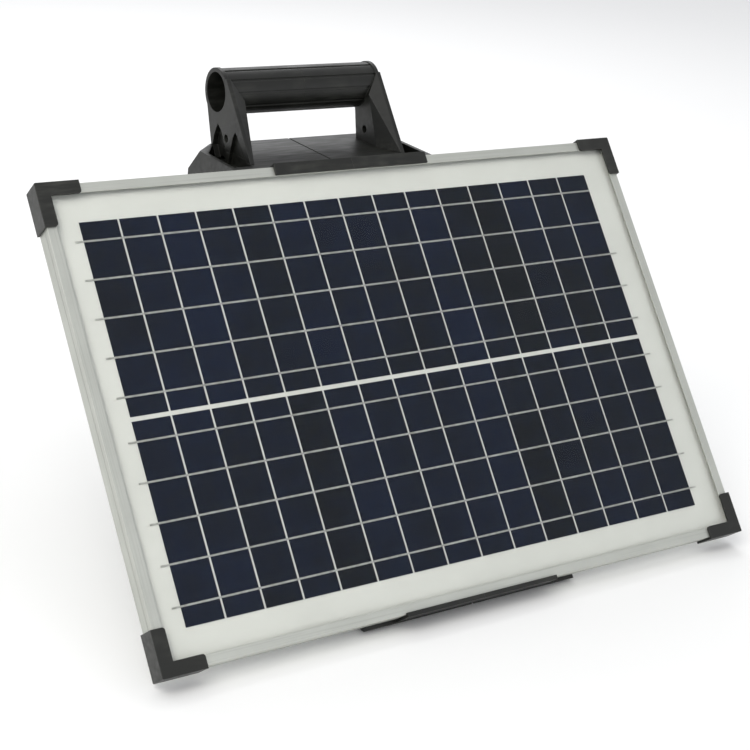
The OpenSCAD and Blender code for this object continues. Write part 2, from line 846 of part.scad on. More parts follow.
// Bush that carries the module's lead through the junction box's lower wall
module module_gland() {
    color("#19191a") on_seat() translate([0, 0, gland_z]) difference() {
        union() {
            rod_y(gland_r, jbox_y - jbox_h / 2 - 3, jbox_y - jbox_h / 2 + jbox_t + 1);
            rod_y(5.2, jbox_y - jbox_h / 2 - 3, jbox_y - jbox_h / 2 - eps);
        }
        rod_y(lead_r + 0.25, jbox_y - jbox_h / 2 - 4, jbox_y - jbox_h / 2 + jbox_t + 2);
    }
}

// A point given in the module's axes, in the object's axes
function seat_point(x, y, z) =
    [x, seat_y + y * cos(tilt) - z * sin(tilt), seat_z + y * sin(tilt) + z * cos(tilt)];

module module_lead() {
    below = jbox_y - jbox_h / 2;
    color("#161617") lead([
        seat_point(0, below + 9, gland_z),
        seat_point(0, below + 3.5, gland_z),
        seat_point(0, below - 3.5, gland_z),
        seat_point(0, below - 9, gland_z),
        seat_point(0, below - 17, -7),
        seat_point(0, below - 10, -24),
        [6, board_y - 74, fascia_z - 34],
        [20, board_y - 40, fascia_z - 30],
        [30, board_y - 16, fascia_z - 24],
        [30, board_y - 1, fascia_z - 22]], lead_r, 5);
}

// ---------- battery ----------

cells = 6;
cell_room = (battery_w - battery_wall) / cells;

module battery_case() {
    hw = battery_w / 2;
    z1 = battery_top - battery_lid_t;
    color("#34383c") difference() {
        box([-hw, battery_y0, battery_z0], [hw, battery_y1, z1]);
        for (i = [0 : cells - 1])
            box([-hw + battery_wall + i * cell_room, battery_y0 + battery_wall,
                    battery_z0 + battery_wall],
                [-hw + (i + 1) * cell_room, battery_y1 - battery_wall, z1 + 1]);
    }
}

module battery_lid() {
    hw = battery_w / 2;
    z0 = battery_top - battery_lid_t;
    color("#2a2e32") difference() {
        union() {
            box([-hw, battery_y0, z0 + 0.05], [hw, battery_y1, battery_top - 2]);
            box([-hw + 3, battery_y0 + 3, z0 + 1], [hw - 3, battery_y1 - 3, battery_top]);
        }
        box([-hw + 20, battery_y0 + 30, battery_top - 1], [hw - 20, battery_y0 + 46, battery_top + 1]);
        for (sx = [-1, 1])
            translate([sx * post_x, post_y, z0 - 1]) cylinder(r = 6.05, h = 20);
    }
}

// Plate stack in each of the six cells
module battery_plates() {
    room = cell_room - battery_wall;
    half = room / 2 - plate_gap;
    color("#6c6f70") for (i = [0 : cells - 1])
        translate([-battery_w / 2 + battery_wall + i * cell_room + room / 2, 0, 0])
            box([-half, battery_y0 + battery_wall + 2, battery_z0 + battery_wall],
                [half, battery_y1 - battery_wall - 2, battery_top - battery_lid_t - 16]);
}

module battery_posts() {
    color("#a9abad") for (sx = [-1, 1])
        translate([sx * post_x, post_y, battery_top - battery_lid_t + 0.05]) {
            cylinder(r = 6, h = battery_lid_t + 2 - 0.05);
            cylinder(r = 3, h = battery_lid_t + post_h);
        }
}

module battery_pads() {
    hw = battery_w / 2;
    color("#454545") for (y = [battery_y0 + 4, battery_y1 - 30])
        box([-hw + 6, y, base_z + wall], [hw - 6, y + 26, battery_z0]);
}

// Steel strap over the battery, with a foot on each ledge
module battery_strap() {
    top = battery_top + fit;
    x1 = strap_hx + strap_foot;
    color("#55585a") difference() {
        along_y(strap_y - strap_w / 2, strap_y + strap_w / 2) polygon([
            [-x1, cleat_z], [-strap_hx, cleat_z], [-strap_hx, top], [strap_hx, top],
            [strap_hx, cleat_z], [x1, cleat_z], [x1, cleat_z + strap_t],
            [strap_hx + strap_t, cleat_z + strap_t], [strap_hx + strap_t, top + strap_t],
            [-strap_hx - strap_t, top + strap_t], [-strap_hx - strap_t, cleat_z + strap_t],
            [-x1, cleat_z + strap_t]]);
        for (side = [-1, 1])
            translate([side * strap_screw_x, strap_y, cleat_z - 1])
                cylinder(r = strap_screw_r + fit, h = 4);
    }
}

module strap_screws() {
    color("#b8babd") for (side = [-1, 1])
        translate([side * strap_screw_x, strap_y, cleat_z]) {
            translate([0, 0, -10]) cylinder(r = strap_screw_r, h = 11 + strap_t);
            translate([0, 0, strap_t + eps]) cylinder(r = 3.2, h = 2.2);
        }
}

// Ring lugs on the battery's posts
module lead_lugs() {
    z = battery_top + 2;
    color("#b9a77a") for (side = [-1, 1])
        translate([side * post_x, post_y, z]) {
            difference() {
                union() {
                    cylinder(r = 6, h = 1);
                    box([-2.5, -16, 0], [2.5, 0, 1]);
                }
                translate([0, 0, -1]) cylinder(r = 3.05, h = 3);
            }
            translate([0, 0, 2.4]) difference() {
                rod_y(2.4, -22, -13);
                rod_y(1.3, -23, -12);
            }
        }
}

module battery_lead(side) {
    z = battery_top + 4.4;
    lead([
        [side * post_x, post_y - 14, z],
        [side * post_x, post_y - 18, z],
        [side * post_x, post_y - 23, z],
        [side * post_x, post_y - 28, z],
        [side * (post_x - 6), post_y - 41, z + 9],
        [side * (post_x - 16), post_y - 36, z + 34],
        [side * 44, board_y - 16, fascia_z - 40],
        [side * 44, board_y - 12, fascia_z - 24],
        [side * 44, board_y - 1, fascia_z - 22]], 1.25, 5);
}

module battery_lead_red() {
    color("#a32018") battery_lead(1);
}

module battery_lead_black() {
    color("#121212") battery_lead(-1);
}

// ---------- electronics ----------

module circuit_board() {
    color("#1f5a35") difference() {
        box([-board_w / 2, board_y, fascia_z - board_h / 2],
            [board_w / 2, board_y + board_t, fascia_z + board_h / 2]);
        for (sx = [-1, 1], sz = [-1, 1])
            translate([sx * board_post_x, 0, fascia_z + sz * board_post_z])
                rod_y(board_screw_r + 0.25, board_y - 1, board_y + board_t + 1);
    }
}

module board_screws() {
    color("#b8babd") for (sx = [-1, 1], sz = [-1, 1])
        translate([sx * board_post_x, 0, fascia_z + sz * board_post_z]) {
            rod_y(board_screw_r, board_y - 1, board_y + 9);
            rod_y(2.8, board_y - 2.2, board_y - eps);
        }
}

core_x = -20;
core_w = 46;
core_d = 30;
core_h = 38;
core_z = fascia_z + 8;

// Closed iron frame of the pulse transformer, with a middle limb
module transformer_core() {
    limb = core_w / 4;
    color("#4a4c50") translate([core_x, board_y, core_z]) difference() {
        box([-core_w / 2, -core_d - 0.1, -core_h / 2], [core_w / 2, -0.1, core_h / 2]);
        for (sx = [-1, 1])
            box([sx > 0 ? limb / 2 : -core_w / 2 + limb / 2, -core_d - 1, -core_h / 2 + limb / 2],
                [sx > 0 ? core_w / 2 - limb / 2 : -limb / 2, 1, core_h / 2 - limb / 2]);
    }
}

// Winding round the middle limb, filling the two windows
module transformer_coil() {
    limb = core_w / 4;
    color("#a5622c") translate([core_x, board_y - core_d / 2, core_z]) difference() {
        box([-core_w / 2 + limb / 2 + 0.4, -core_d / 2 - 6, -core_h / 2 + limb / 2 + 0.4],
            [core_w / 2 - limb / 2 - 0.4, core_d / 2 - 0.4, core_h / 2 - limb / 2 - 0.4]);
        box([-limb / 2 - 0.3, -core_d / 2 - 0.4, -core_h], [limb / 2 + 0.3, core_d / 2 + 1, core_h]);
    }
}

module pulse_capacitors() {
    color("#2f4f9a") for (i = [0, 1])
        translate([26 + i * 20, board_y - 0.1, fascia_z + 8]) rotate([90, 0, 0])
            linear_extrude(28) round_rect(17, 36, 1.5);
}

module heat_sink() {
    color("#9a9d9f") translate([-56, board_y - 0.1, fascia_z + 2]) {
        box([-8, -3, -15], [8, 0, 15]);
        for (i = [0 : 4])
            box([-8 + i * 3.6, -18, -15], [-8 + i * 3.6 + 1.6, -3 + eps, 15]);
    }
}

fuse_x = -14;
fuse_z = fascia_z - 22;

module fuse_holder() {
    color("#c2a868") translate([fuse_x, board_y, fuse_z]) {
        for (sx = [-1, 1]) {
            x0 = sx > 0 ? 8 : -12;
            box([x0, -6, -3.5], [x0 + 4, -5, 3.5]);
            box([x0, -9, -4], [x0 + 4, -5 - eps, -2.7]);
            box([x0, -9, 2.7], [x0 + 4, -5 - eps, 4]);
            box([x0 + 1, -5 - eps, -1], [x0 + 3, -0.1, 1]);
        }
    }
}

module fuse() {
    color("#d9dcdc") translate([fuse_x, board_y - 8.6, fuse_z]) {
        rod_x(2.2, -8 + eps, 8 - eps);
        rod_x(2.5, -11.5, -8);
        rod_x(2.5, 8, 11.5);
    }
}

// Leads from the board's edge to the inner ends of the two studs
module stud_lead(side) {
    end_y = rear_y - stud_in;
    board_back = board_y + board_t;
    lead([
        [side * (terminal_x + 3), board_back + 0.4, terminal_z - 17],
        [side * (terminal_x + 3), board_back + 3.6, terminal_z - 17],
        [side * (terminal_x + 2), board_back + 5, terminal_z - 8],
        [side * terminal_x, board_back + 6.5, terminal_z - 1],
        [side * terminal_x, end_y - 0.1, terminal_z]], 1.2, 4);
}

module fence_lead() {
    color("#b3261c") stud_lead(-1);
}

module earth_lead() {
    color("#1e6b38") stud_lead(1);
}

// ---------- control plate ----------

module control_plate() {
    post_y0 = board_y + board_t + 0.05;
    color("#26282a") difference() {
        union() {
            translate([0, 0, fascia_z]) along_y(rear_y + 0.05, fascia_y) round_rect(fascia_w, fascia_h, 6);
            for (side = [-1, 1])
                translate([side * terminal_x, 0, terminal_z])
                    rod_y(collar_r, fascia_y - eps, clamp_y - 0.5);
            translate([0, 0, switch_z]) rod_y(switch_r + 3, fascia_y - eps, fascia_y + 1);
            for (sx = [-1, 1], sz = [-1, 1])
                translate([sx * board_post_x, 0, fascia_z + sz * board_post_z])
                    rod_y(3.4, post_y0, rear_y + 1);
        }
        for (side = [-1, 1])
            translate([side * terminal_x, 0, terminal_z])
                rod_y(stud_r + run, rear_y - 1, clamp_y + 1);
        translate([0, 0, switch_z]) rod_y(switch_neck_r, rear_y - 1, fascia_y + 2);
        for (x = lens_xs)
            translate([x, 0, lens_z]) rod_y(lens_r, rear_y - 1, fascia_y + 1);
        for (sx = [-1, 1], sz = [-1, 1]) {
            translate([sx * board_post_x, 0, fascia_z + sz * board_post_z])
                rod_y(board_screw_r, post_y0 - 1, rear_y);
            translate([sx * plate_screw_x, 0, fascia_z + sz * plate_screw_z])
                rod_y(plate_screw_r + 0.2, rear_y - 1, fascia_y + 1);
        }
    }
}

module plate_screws() {
    color("#b8babd") for (sx = [-1, 1], sz = [-1, 1])
        translate([sx * plate_screw_x, 0, fascia_z + sz * plate_screw_z]) difference() {
            union() {
                rod_y(plate_screw_r - 0.02, rear_y - wall - 1, fascia_y + 0.5);
                rod_y(2.9, fascia_y + eps, fascia_y + 1.8);
            }
            translate([0, fascia_y + 3, 0]) rotate([90, 0, 0]) cylinder(r = 1.3, h = 2.2, $fn = 6);
        }
}

// Rotary switch: body and threaded neck
module switch_body() {
    color("#3a3c3e") translate([0, 0, switch_z]) difference() {
        union() {
            rod_y(12, rear_y - 14, rear_y - eps);
            rod_y(switch_neck_r - run, rear_y - 1, fascia_y + 2.4);
        }
        rod_y(shaft_r + run, rear_y - 11, fascia_y + 3);
    }
}

module switch_shaft() {
    color("#b9bcbe") translate([0, 0, switch_z]) rod_y(shaft_r, rear_y - 10.5, fascia_y + 11);
}

// Knob with a finger bar across its face and a pointer
module switch_knob() {
    y0 = fascia_y + 3;
    color("#c7341f") translate([0, 0, switch_z]) difference() {
        union() {
            rod_y(switch_r, y0, y0 + 4);
            intersection() {
                rod_y(switch_r - 1.5, y0 + 4 - eps, y0 + switch_h);
                box([-4.5, y0, -switch_r], [4.5, y0 + switch_h, switch_r]);
            }
        }
        rod_y(shaft_r, y0 - 1, fascia_y + 11.1);
        for (i = [0 : 11]) {
            angle = 30 * i + 15;
            rotate([0, angle, 0]) translate([0, 0, switch_r + 1]) rod_y(2, y0 - 1, y0 + 5);
        }
        box([-0.8, y0 + switch_h - 0.8, 3], [0.8, y0 + switch_h + 1, switch_r]);
    }
}

module indicator_lenses() {
    color("#7fae4a") for (x = lens_xs)
        translate([x, 0, lens_z]) {
            rod_y(lens_r - 0.02, rear_y - 1, fascia_y + 0.5);
            translate([0, fascia_y + 0.5, 0]) intersection() {
                sphere(r = lens_r - 0.02);
                box([-5, 0, -5], [5, 5, 5]);
            }
        }
}

// ---------- terminals ----------

// Stud with its inner nut and washer
module terminal_stud(side) {
    color("#b7babc") translate([side * terminal_x, 0, terminal_z]) {
        rod_y(stud_r, rear_y - stud_in, clamp_y + washer_t + stud_out);
        translate([0, rear_y - 0.1, 0]) rotate([90, 0, 0]) cylinder(r = nut_r, h = nut_h, $fn = 6);
    }
}

module terminal_washer(side) {
    color("#c3c6c8") translate([side * terminal_x, 0, terminal_z]) difference() {
        rod_y(washer_r, clamp_y, clamp_y + washer_t);
        rod_y(stud_r + run, clamp_y - 1, clamp_y + washer_t + 1);
    }
}

// Ribbed knob nut on a stud
module terminal_knob(side) {
    y0 = clamp_y + washer_t + 0.05;
    y1 = y0 + terminal_knob_l - 0.05;
    translate([side * terminal_x, 0, terminal_z]) difference() {
        union() {
            rod_y(washer_r - 0.5, y0, y0 + 3 + eps);
            rod_y(terminal_knob_r, y0 + 3, y1);
        }
        rod_y(stud_r + run, y0 - 1, y1 - knob_end_t);
        for (i = [0 : 9])
            rotate([0, 36 * i, 0]) translate([0, 0, terminal_knob_r + 1.2]) rod_y(2.6, y0 - 1, y1 + 1);
    }
}

module fence_stud() {
    terminal_stud(-1);
}

module fence_washer() {
    terminal_washer(-1);
}

module fence_knob() {
    color("#c2281b") terminal_knob(-1);
}

module earth_stud() {
    terminal_stud(1);
}

module earth_washer() {
    terminal_washer(1);
}

module earth_knob() {
    color("#2a7d3f") terminal_knob(1);
}

// ---------- rear door ----------

module rear_door() {
    hw = door_w / 2;
    flange_y = rear_y - 4;
    fx = door_open_w / 2 - flange_gap;
    fz0 = door_open_z + flange_gap;
    fz1 = door_open_z + door_open_h - flange_gap;
    color("#202223") difference() {
        union() {
            translate([0, 0, door_z0 + door_h / 2])
                along_y(door_y, door_y + door_t) round_rect(door_w, door_h, 5);
            difference() {
                box([-fx, flange_y, fz0], [fx, door_y + eps, fz1]);
                box([-fx + 2, flange_y - 1, fz0 + 2], [fx - 2, door_y + 1, fz1 - 2]);
            }
            for (z = hinge_zs) {
                translate([hinge_x, hinge_y, z - knuckle_l / 2]) cylinder(r = knuckle_r, h = knuckle_l);
                box([hinge_x, hinge_y - 1.6, z - knuckle_l / 2],
                    [-hw + 4, hinge_y + 1.2, z + knuckle_l / 2]);
            }
            for (i = [0 : 4])
                box([-60 + i * 30 - 1.5, door_y + door_t - eps, door_z0 + 16],
                    [-60 + i * 30 + 1.5, door_y + door_t + 1.2, door_z0 + door_h - 28]);
            box([hw - 14, door_y + door_t - eps, door_z0 + door_h / 2 - 18],
                [hw - 9, door_y + door_t + 6, door_z0 + door_h / 2 + 18]);
        }
        for (z = hinge_zs)
            translate([hinge_x, hinge_y, z - knuckle_l]) cylinder(r = hinge_pin_r + run, h = 2 * knuckle_l);
    }
}

// Foam seal round the door's opening, stuck to the door
module door_gasket() {
    x1 = door_open_w / 2 - flange_gap;
    z0 = door_open_z + flange_gap;
    z1 = door_open_z + door_open_h - flange_gap;
    color("#3b3b3b") difference() {
        box([-x1 - 4.5, rear_y + 0.1, z0 - 4.5], [x1 + 4.5, door_y - 0.01, z1 + 4.5]);
        box([-x1 - 0.1, rear_y - 1, z0 - 0.1], [x1 + 0.1, door_y + 1, z1 + 0.1]);
    }
}

module hinge_pins() {
    color("#b8babd") for (z = hinge_zs)
        translate([hinge_x, hinge_y, z - knuckle_l / 2 - fit - ear_l])
            cylinder(r = hinge_pin_r, h = knuckle_l + 2 * (fit + ear_l));
}

// Blank plate for the maker's data, on the door
module rating_plate() {
    face_y = door_y + door_t;
    color("#b9bcbd") translate([0, 0, door_z0 + door_h - 13])
        along_y(face_y + 0.02, face_y + 0.5) round_rect(70, 18, 2);
}

housing_left();
housing_right();
handle_left();
handle_right();
seam_gasket();
shell_screws();
base_feet();
rail_top();
rail_bottom();
rail_left();
rail_right();
corner_keys();
corner_caps();
front_glass();
solar_cells();
cell_ribbons();
backsheet();
glass_seal();
junction_box();
junction_lid();
bypass_diodes();
module_gland();
module_lead();
battery_case();
battery_lid();
battery_plates();
battery_posts();
battery_pads();
battery_strap();
strap_screws();
battery_lead_red();
battery_lead_black();
lead_lugs();
circuit_board();
board_screws();
transformer_core();
transformer_coil();
pulse_capacitors();
heat_sink();
fuse_holder();
fuse();
fence_lead();
earth_lead();
control_plate();
plate_screws();
switch_body();
switch_shaft();
switch_knob();
indicator_lenses();
fence_stud();
fence_washer();
fence_knob();
earth_stud();
earth_washer();
earth_knob();
rear_door();
door_gasket();
hinge_pins();
rating_plate();
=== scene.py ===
"""Looks of a solar fence energizer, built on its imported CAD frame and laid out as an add-on."""

import math

import bmesh
import bpy
from bpy.props import FloatProperty, FloatVectorProperty, IntProperty, PointerProperty
from mathutils import Euler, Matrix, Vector


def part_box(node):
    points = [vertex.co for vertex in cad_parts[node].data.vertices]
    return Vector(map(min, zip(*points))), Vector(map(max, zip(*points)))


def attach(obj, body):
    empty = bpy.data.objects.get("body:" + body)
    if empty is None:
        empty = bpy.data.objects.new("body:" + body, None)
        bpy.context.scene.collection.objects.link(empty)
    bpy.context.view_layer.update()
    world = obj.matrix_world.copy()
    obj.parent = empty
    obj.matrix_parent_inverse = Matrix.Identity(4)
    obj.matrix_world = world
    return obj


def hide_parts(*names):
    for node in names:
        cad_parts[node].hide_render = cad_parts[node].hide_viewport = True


bl_info = {
    "name": "Solar Fence Energizer",
    "version": (1, 0, 0),
    "blender": (4, 5, 0),
    "location": "View3D > Sidebar > Energizer",
    "description": "Finishes, fine pieces and studio of a solar fence energizer",
    "category": "Object",
}

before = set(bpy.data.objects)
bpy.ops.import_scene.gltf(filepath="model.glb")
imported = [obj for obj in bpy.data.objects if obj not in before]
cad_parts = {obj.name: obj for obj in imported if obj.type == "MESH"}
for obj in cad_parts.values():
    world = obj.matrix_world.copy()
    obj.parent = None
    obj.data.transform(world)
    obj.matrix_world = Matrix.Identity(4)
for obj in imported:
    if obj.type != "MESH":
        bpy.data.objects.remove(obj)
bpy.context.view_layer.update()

MM = 0.001
TILT = math.radians(50)          # slope of the solar module
BODY = "energizer"               # the CAD body that everything fixed rides on
COLOUR = {"data_type": "RGBA"}   # a Mix node that mixes colours
COLOUR_A, COLOUR_B, COLOUR_OUT = 6, 7, 2     # its colour sockets

# Edges: cosine between the flat and the rounded normal where the painted edge highlight starts and
# where it is full
HIGHLIGHT_STARTS, HIGHLIGHT_FULL = 0.985, 0.80
WELD_GAP = 0.01 * MM             # vertices closer than this become one before edges are rounded
SHARP_ANGLE = math.radians(40)   # edges sharper than this are rounded

# Terminal studs
STUD_RADIUS = 4 * MM
NUT_PLACE = 16 * MM              # from the stud's inner end
NUT_THICKNESS = 6 * MM
RINGS_PER_TURN = 6               # rings of vertices in one turn of the thread
POINTS_AROUND = 28               # vertices in one ring
THREAD_DEPTH = 0.55              # share of the pitch
END_CHAMFER = 0.9 * MM
CHAMFER_SLOPE = 0.8              # how fast the radius grows from the rod's end

# Marks printed on the control plate
INK = 0.08 * MM                  # thickness of a printed mark
SCREW_HEAD = 1.8 * MM            # height of a plate screw's head over the plate
DIAL_INNER = 21.6 * MM           # radius where the dial's ticks start
DIAL_LONG, DIAL_SHORT = 25 * MM, 23.4 * MM   # radii where long and short ticks end
DIAL_TICKS = 7
DIAL_TOP, DIAL_STEP = 90, 22.5   # degrees: the first tick, and the turn from one to the next
TICK_WIDTH = 1.1 * MM
MARK_RAISE = 24 * MM             # from a terminal's axis up to its sign
SIGN_WIDTH = 1.2 * MM
# Outline of the bolt over the fence terminal, millimetres
BOLT_POINTS = [(1.6, 7), (-3.4, -0.6), (-0.4, -0.6), (-1.8, -7), (3.4, 1.2), (0.4, 1.2)]
EARTH_STEM = 6 * MM
EARTH_BARS = [(6, 0), (4, 2.6), (2, 5.2)]    # half length and drop of each bar, millimetres

# Stage, in metres and degrees
FLOOR_REACH, FLOOR_CELLS = 12, 24
FLOOR_DROP = 0.2 * MM            # keeps the floor clear of the feet's undersides
LAMPS = (                        # name, place, width, share of the key light's power, tint
    ("key", (-1.5, -0.9, 2.0), 1.6, 1.0, "#fffdf8"),
    ("fill", (0.9, -2.6, 0.7), 1.8, 0.3, "#fafcff"),
    ("back", (0.6, 1.9, 1.9), 1.6, 0.7, "#ffffff"))
LAMP_TARGET = Vector((0, 0, 0.18))
CAMERA_PLACE = (-0.72375, -1.07055, 0.65418)
CAMERA_TURN = (68.0326, -4.6258, -32.3440)
CAMERA_REACH = 0.05, 60          # nearest and farthest distance that it sees
SENSOR_WIDTH = 36                # millimetres


# ---------- helpers ----------

def linear(hex_colour):
    """Linear RGBA of a hex colour, by the sRGB standard's own curve."""
    parts = [int(hex_colour[i:i + 2], 16) / 255 for i in (1, 3, 5)]
    return [p / 12.92 if p <= 0.04045 else ((p + 0.055) / 1.055) ** 2.4 for p in parts] + [1.0]


def scaled(colour, factor, lift=0.0):
    """A colour multiplied by a factor, with lift added, no channel over 1."""
    return [min(1.0, c * factor + lift) for c in colour[:3]] + [1.0]


def per_metre(size_mm):
    """Texture scale of a pattern whose features are size_mm apart."""
    return 1 / (size_mm * MM)


def add(tree, kind, properties=None, inputs=None):
    """Adds a node, sets its properties, and sets each input or links it if a socket is given."""
    made = tree.nodes.new(kind)
    for key, value in (properties or {}).items():
        setattr(made, key, value)
    for key, value in (inputs or {}).items():
        if isinstance(value, bpy.types.NodeSocket):
            tree.links.new(value, made.inputs[key])
        else:
            made.inputs[key].default_value = value
    return made


def start_material(name):
    """A new empty material. Returns it, its tree and its object coordinates in metres."""
    made = bpy.data.materials.new(name)
    made.use_nodes = True
    tree = made.node_tree
    tree.nodes.clear()
    return made, tree, add(tree, "ShaderNodeTexCoord").outputs["Object"]


def edge_normal_and_highlight(tree, radius_mm):
    """A normal rounded over radius_mm at edges, and a mask that is 1 there and 0 on flats, for a
    painted edge highlight.
    """
    rounded = add(tree, "ShaderNodeBevel", {"samples": 4}, {"Radius": radius_mm * MM}).outputs[0]
    flat = add(tree, "ShaderNodeNewGeometry").outputs["Normal"]
    same = add(tree, "ShaderNodeVectorMath", {"operation": "DOT_PRODUCT"}, {0: rounded, 1: flat})
    mask = add(tree, "ShaderNodeMapRange", None, {
        "Value": same.outputs["Value"], "From Min": HIGHLIGHT_STARTS, "From Max": HIGHLIGHT_FULL})
    return rounded, mask.outputs[0]


def mesh_piece(name, work, material, body=BODY):
    """Turns a bmesh into a flat-shaded object that rides on a body, with its finish."""
    data = bpy.data.meshes.new(name)
    bmesh.ops.recalc_face_normals(work, faces=work.faces)
    work.to_mesh(data)
    work.free()
    data.shade_flat()
    data.materials.append(material)
    made = bpy.data.objects.new(name, data)
    bpy.context.scene.collection.objects.link(made)
    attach(made, body)
    return made


def dress(names, material, edge_mm=0.0):
    """Gives CAD nodes a material, and rounds their edges by edge_mm if it is not 0."""
    for name in names:
        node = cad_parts[name]
        node.data.materials.clear()
        node.data.materials.append(material)
        for face in node.data.polygons:
            face.material_index = 0
        if edge_mm:
            round_edges(node, edge_mm)


def round_edges(node, edge_mm):
    """Small rounded edges, by modifiers that weld, bevel and even out the normals."""
    weld = node.modifiers.new("weld", "WELD")
    weld.merge_threshold = WELD_GAP
    bevel = node.modifiers.new("edge", "BEVEL")
    bevel.width = edge_mm * MM
    bevel.segments = 2
    bevel.limit_method = "ANGLE"
    bevel.angle_limit = SHARP_ANGLE
    bevel.use_clamp_overlap = False
    node.modifiers.new("normals", "WEIGHTED_NORMAL").keep_sharp = False


# ---------- sizes and colours that a user may change ----------

class HousingLooks(bpy.types.PropertyGroup):
    """Finish of the moulded housing"""
    plastic: FloatVectorProperty(name="Plastic", description="Colour of the housing's plastic",
                                 subtype="COLOR", size=4, default=linear("#11120f"))
    # This colour paints the scuffs, which also hold a painted sheen, and the painted highlight along
    # the edges.
    rubbed_and_lit: FloatVectorProperty(name="Rubbed plastic",
                                description="Colour where the plastic is rubbed",
                                subtype="COLOR", size=4, default=linear("#41423c"))
    grit: FloatProperty(name="Grit", description="Size of the mould's eroded texture, millimetres",
                        default=0.9, min=0.2, max=4)
    edge: FloatProperty(name="Edge radius", description="Radius of the moulded edges, millimetres",
                        default=0.8, min=0.05, max=1.5)


class ModuleLooks(bpy.types.PropertyGroup):
    """Finish of the solar module"""
    cell: FloatVectorProperty(name="Cell", description="Colour of the silicon cells",
                              subtype="COLOR", size=4, default=linear("#13161b"))
    cell_blue: FloatVectorProperty(name="Blue grain",
                                   description="Colour of the cells' bluest grains",
                                   subtype="COLOR", size=4, default=linear("#12192a"))
    sheet: FloatVectorProperty(name="Backsheet", description="Colour of the laminated backsheet",
                               subtype="COLOR", size=4, default=linear("#c5c6c0"))
    metal: FloatVectorProperty(name="Frame", description="Colour of the anodised frame",
                               subtype="COLOR", size=4, default=linear("#c3c5be"))
    strips: IntProperty(name="Strips", description="Cell strips side by side", default=15, min=1)
    strip_gap: FloatProperty(name="Strip gap", description="Gap between strips, millimetres",
                             default=1.65, min=0)
    finger: FloatProperty(name="Finger spacing",
                          description="Spacing of the printed fingers, millimetres",
                          default=1.9, min=0.5)
    grain: FloatProperty(name="Grain", description="Size of the silicon's crystals, millimetres",
                         default=7.0, min=1)


class ControlLooks(bpy.types.PropertyGroup):
    """Finish of the controls and terminals"""
    plate: FloatVectorProperty(name="Plate", description="Colour of the control plate",
                               subtype="COLOR", size=4, default=linear("#181a1b"))
    switch: FloatVectorProperty(name="Switch", description="Colour of the switch knob",
                                subtype="COLOR", size=4, default=linear("#b5301c"))
    fence: FloatVectorProperty(name="Fence knob", description="Colour of the fence terminal's knob",
                               subtype="COLOR", size=4, default=linear("#b3251a"))
    earth: FloatVectorProperty(name="Earth knob", description="Colour of the earth terminal's knob",
                               subtype="COLOR", size=4, default=linear("#23683a"))
    pitch: FloatProperty(name="Thread pitch", description="Pitch of the terminal studs, millimetres",
                         default=1.25, min=0.5)


class StageLooks(bpy.types.PropertyGroup):
    """Floor, light and camera"""
    floor: FloatVectorProperty(name="Floor", description="Colour of the floor",
                               subtype="COLOR", size=4, default=linear("#fafaf9"))
    lens: FloatProperty(name="Lens", description="Focal length of the camera, millimetres",
                        subtype="DISTANCE_CAMERA", default=78.48)
    sky: FloatProperty(name="Surround light", description="Strength of the even light all round",
                       default=0.78, min=0)
    key: FloatProperty(name="Key light", description="Power of the large soft light",
                       subtype="POWER", default=26.0, min=0)


# ---------- materials of the housing ----------

def moulded_abs(name, colour, rubbed_and_lit, grit_mm, edge_mm, gloss=0.44):
    """Injection-moulded ABS from a spark-eroded mould: an even fine grit that breaks up highlights,
    cloudy gloss where hands have touched it, paler scuffs there that also hold a painted sheen, and
    smoother edges that a painted highlight makes slightly paler."""
    made, tree, place = start_material(name)
    rounded, edges = edge_normal_and_highlight(tree, edge_mm)
    clouds = add(tree, "ShaderNodeTexNoise", None, {
        "Vector": place, "Scale": per_metre(38), "Detail": 4})
    # Rub marks run across, along the grip and the top face: paler scuffs that also hold a painted
    # sheen.
    drawn = add(tree, "ShaderNodeMapping", None, {"Vector": place, "Scale": (0.18, 1, 1)})
    smears = add(tree, "ShaderNodeTexNoise", None, {
        "Vector": drawn.outputs[0], "Scale": per_metre(4), "Detail": 5})
    patch = add(tree, "ShaderNodeMapRange", None, {
        "Value": clouds.outputs["Fac"], "From Min": 0.42, "From Max": 0.72, "To Max": 0.6})
    streak = add(tree, "ShaderNodeMapRange", None, {
        "Value": smears.outputs["Fac"], "From Min": 0.42, "From Max": 0.68, "To Min": 0.1})
    scuff_and_sheen = add(tree, "ShaderNodeMath", {"operation": "MULTIPLY"}, {
        0: patch.outputs[0], 1: streak.outputs[0]})
    scuffed_and_sheened = add(tree, "ShaderNodeMix", COLOUR, {
        0: scuff_and_sheen.outputs[0], COLOUR_A: colour, COLOUR_B: rubbed_and_lit})
    # Painted highlight: the edges are mixed towards the paler colour.
    edge_highlight_share = add(tree, "ShaderNodeMath", {"operation": "MULTIPLY"}, {0: edges, 1: 0.45})
    body = add(tree, "ShaderNodeMix", COLOUR, {
        0: edge_highlight_share.outputs[0], COLOUR_A: scuffed_and_sheened.outputs[COLOUR_OUT], COLOUR_B: rubbed_and_lit})
    sheen = add(tree, "ShaderNodeMapRange", None, {
        "Value": smears.outputs["Fac"], "From Min": 0.3, "From Max": 0.7,
        "To Min": gloss - 0.08, "To Max": gloss + 0.1})
    grit = add(tree, "ShaderNodeTexNoise", None, {
        "Vector": place, "Scale": per_metre(grit_mm), "Detail": 3})
    bump = add(tree, "ShaderNodeBump", None, {
        "Height": grit.outputs["Fac"], "Normal": rounded, "Strength": 0.22, "Distance": 0.06 * MM})
    shader = add(tree, "ShaderNodeBsdfPrincipled", None, {
        "Base Color": body.outputs[COLOUR_OUT], "Roughness": sheen.outputs[0],
        "Normal": bump.outputs[0], "IOR": 1.53, "Specular IOR Level": 0.36})
    add(tree, "ShaderNodeOutputMaterial", None, {"Surface": shader.outputs[0]})
    return made


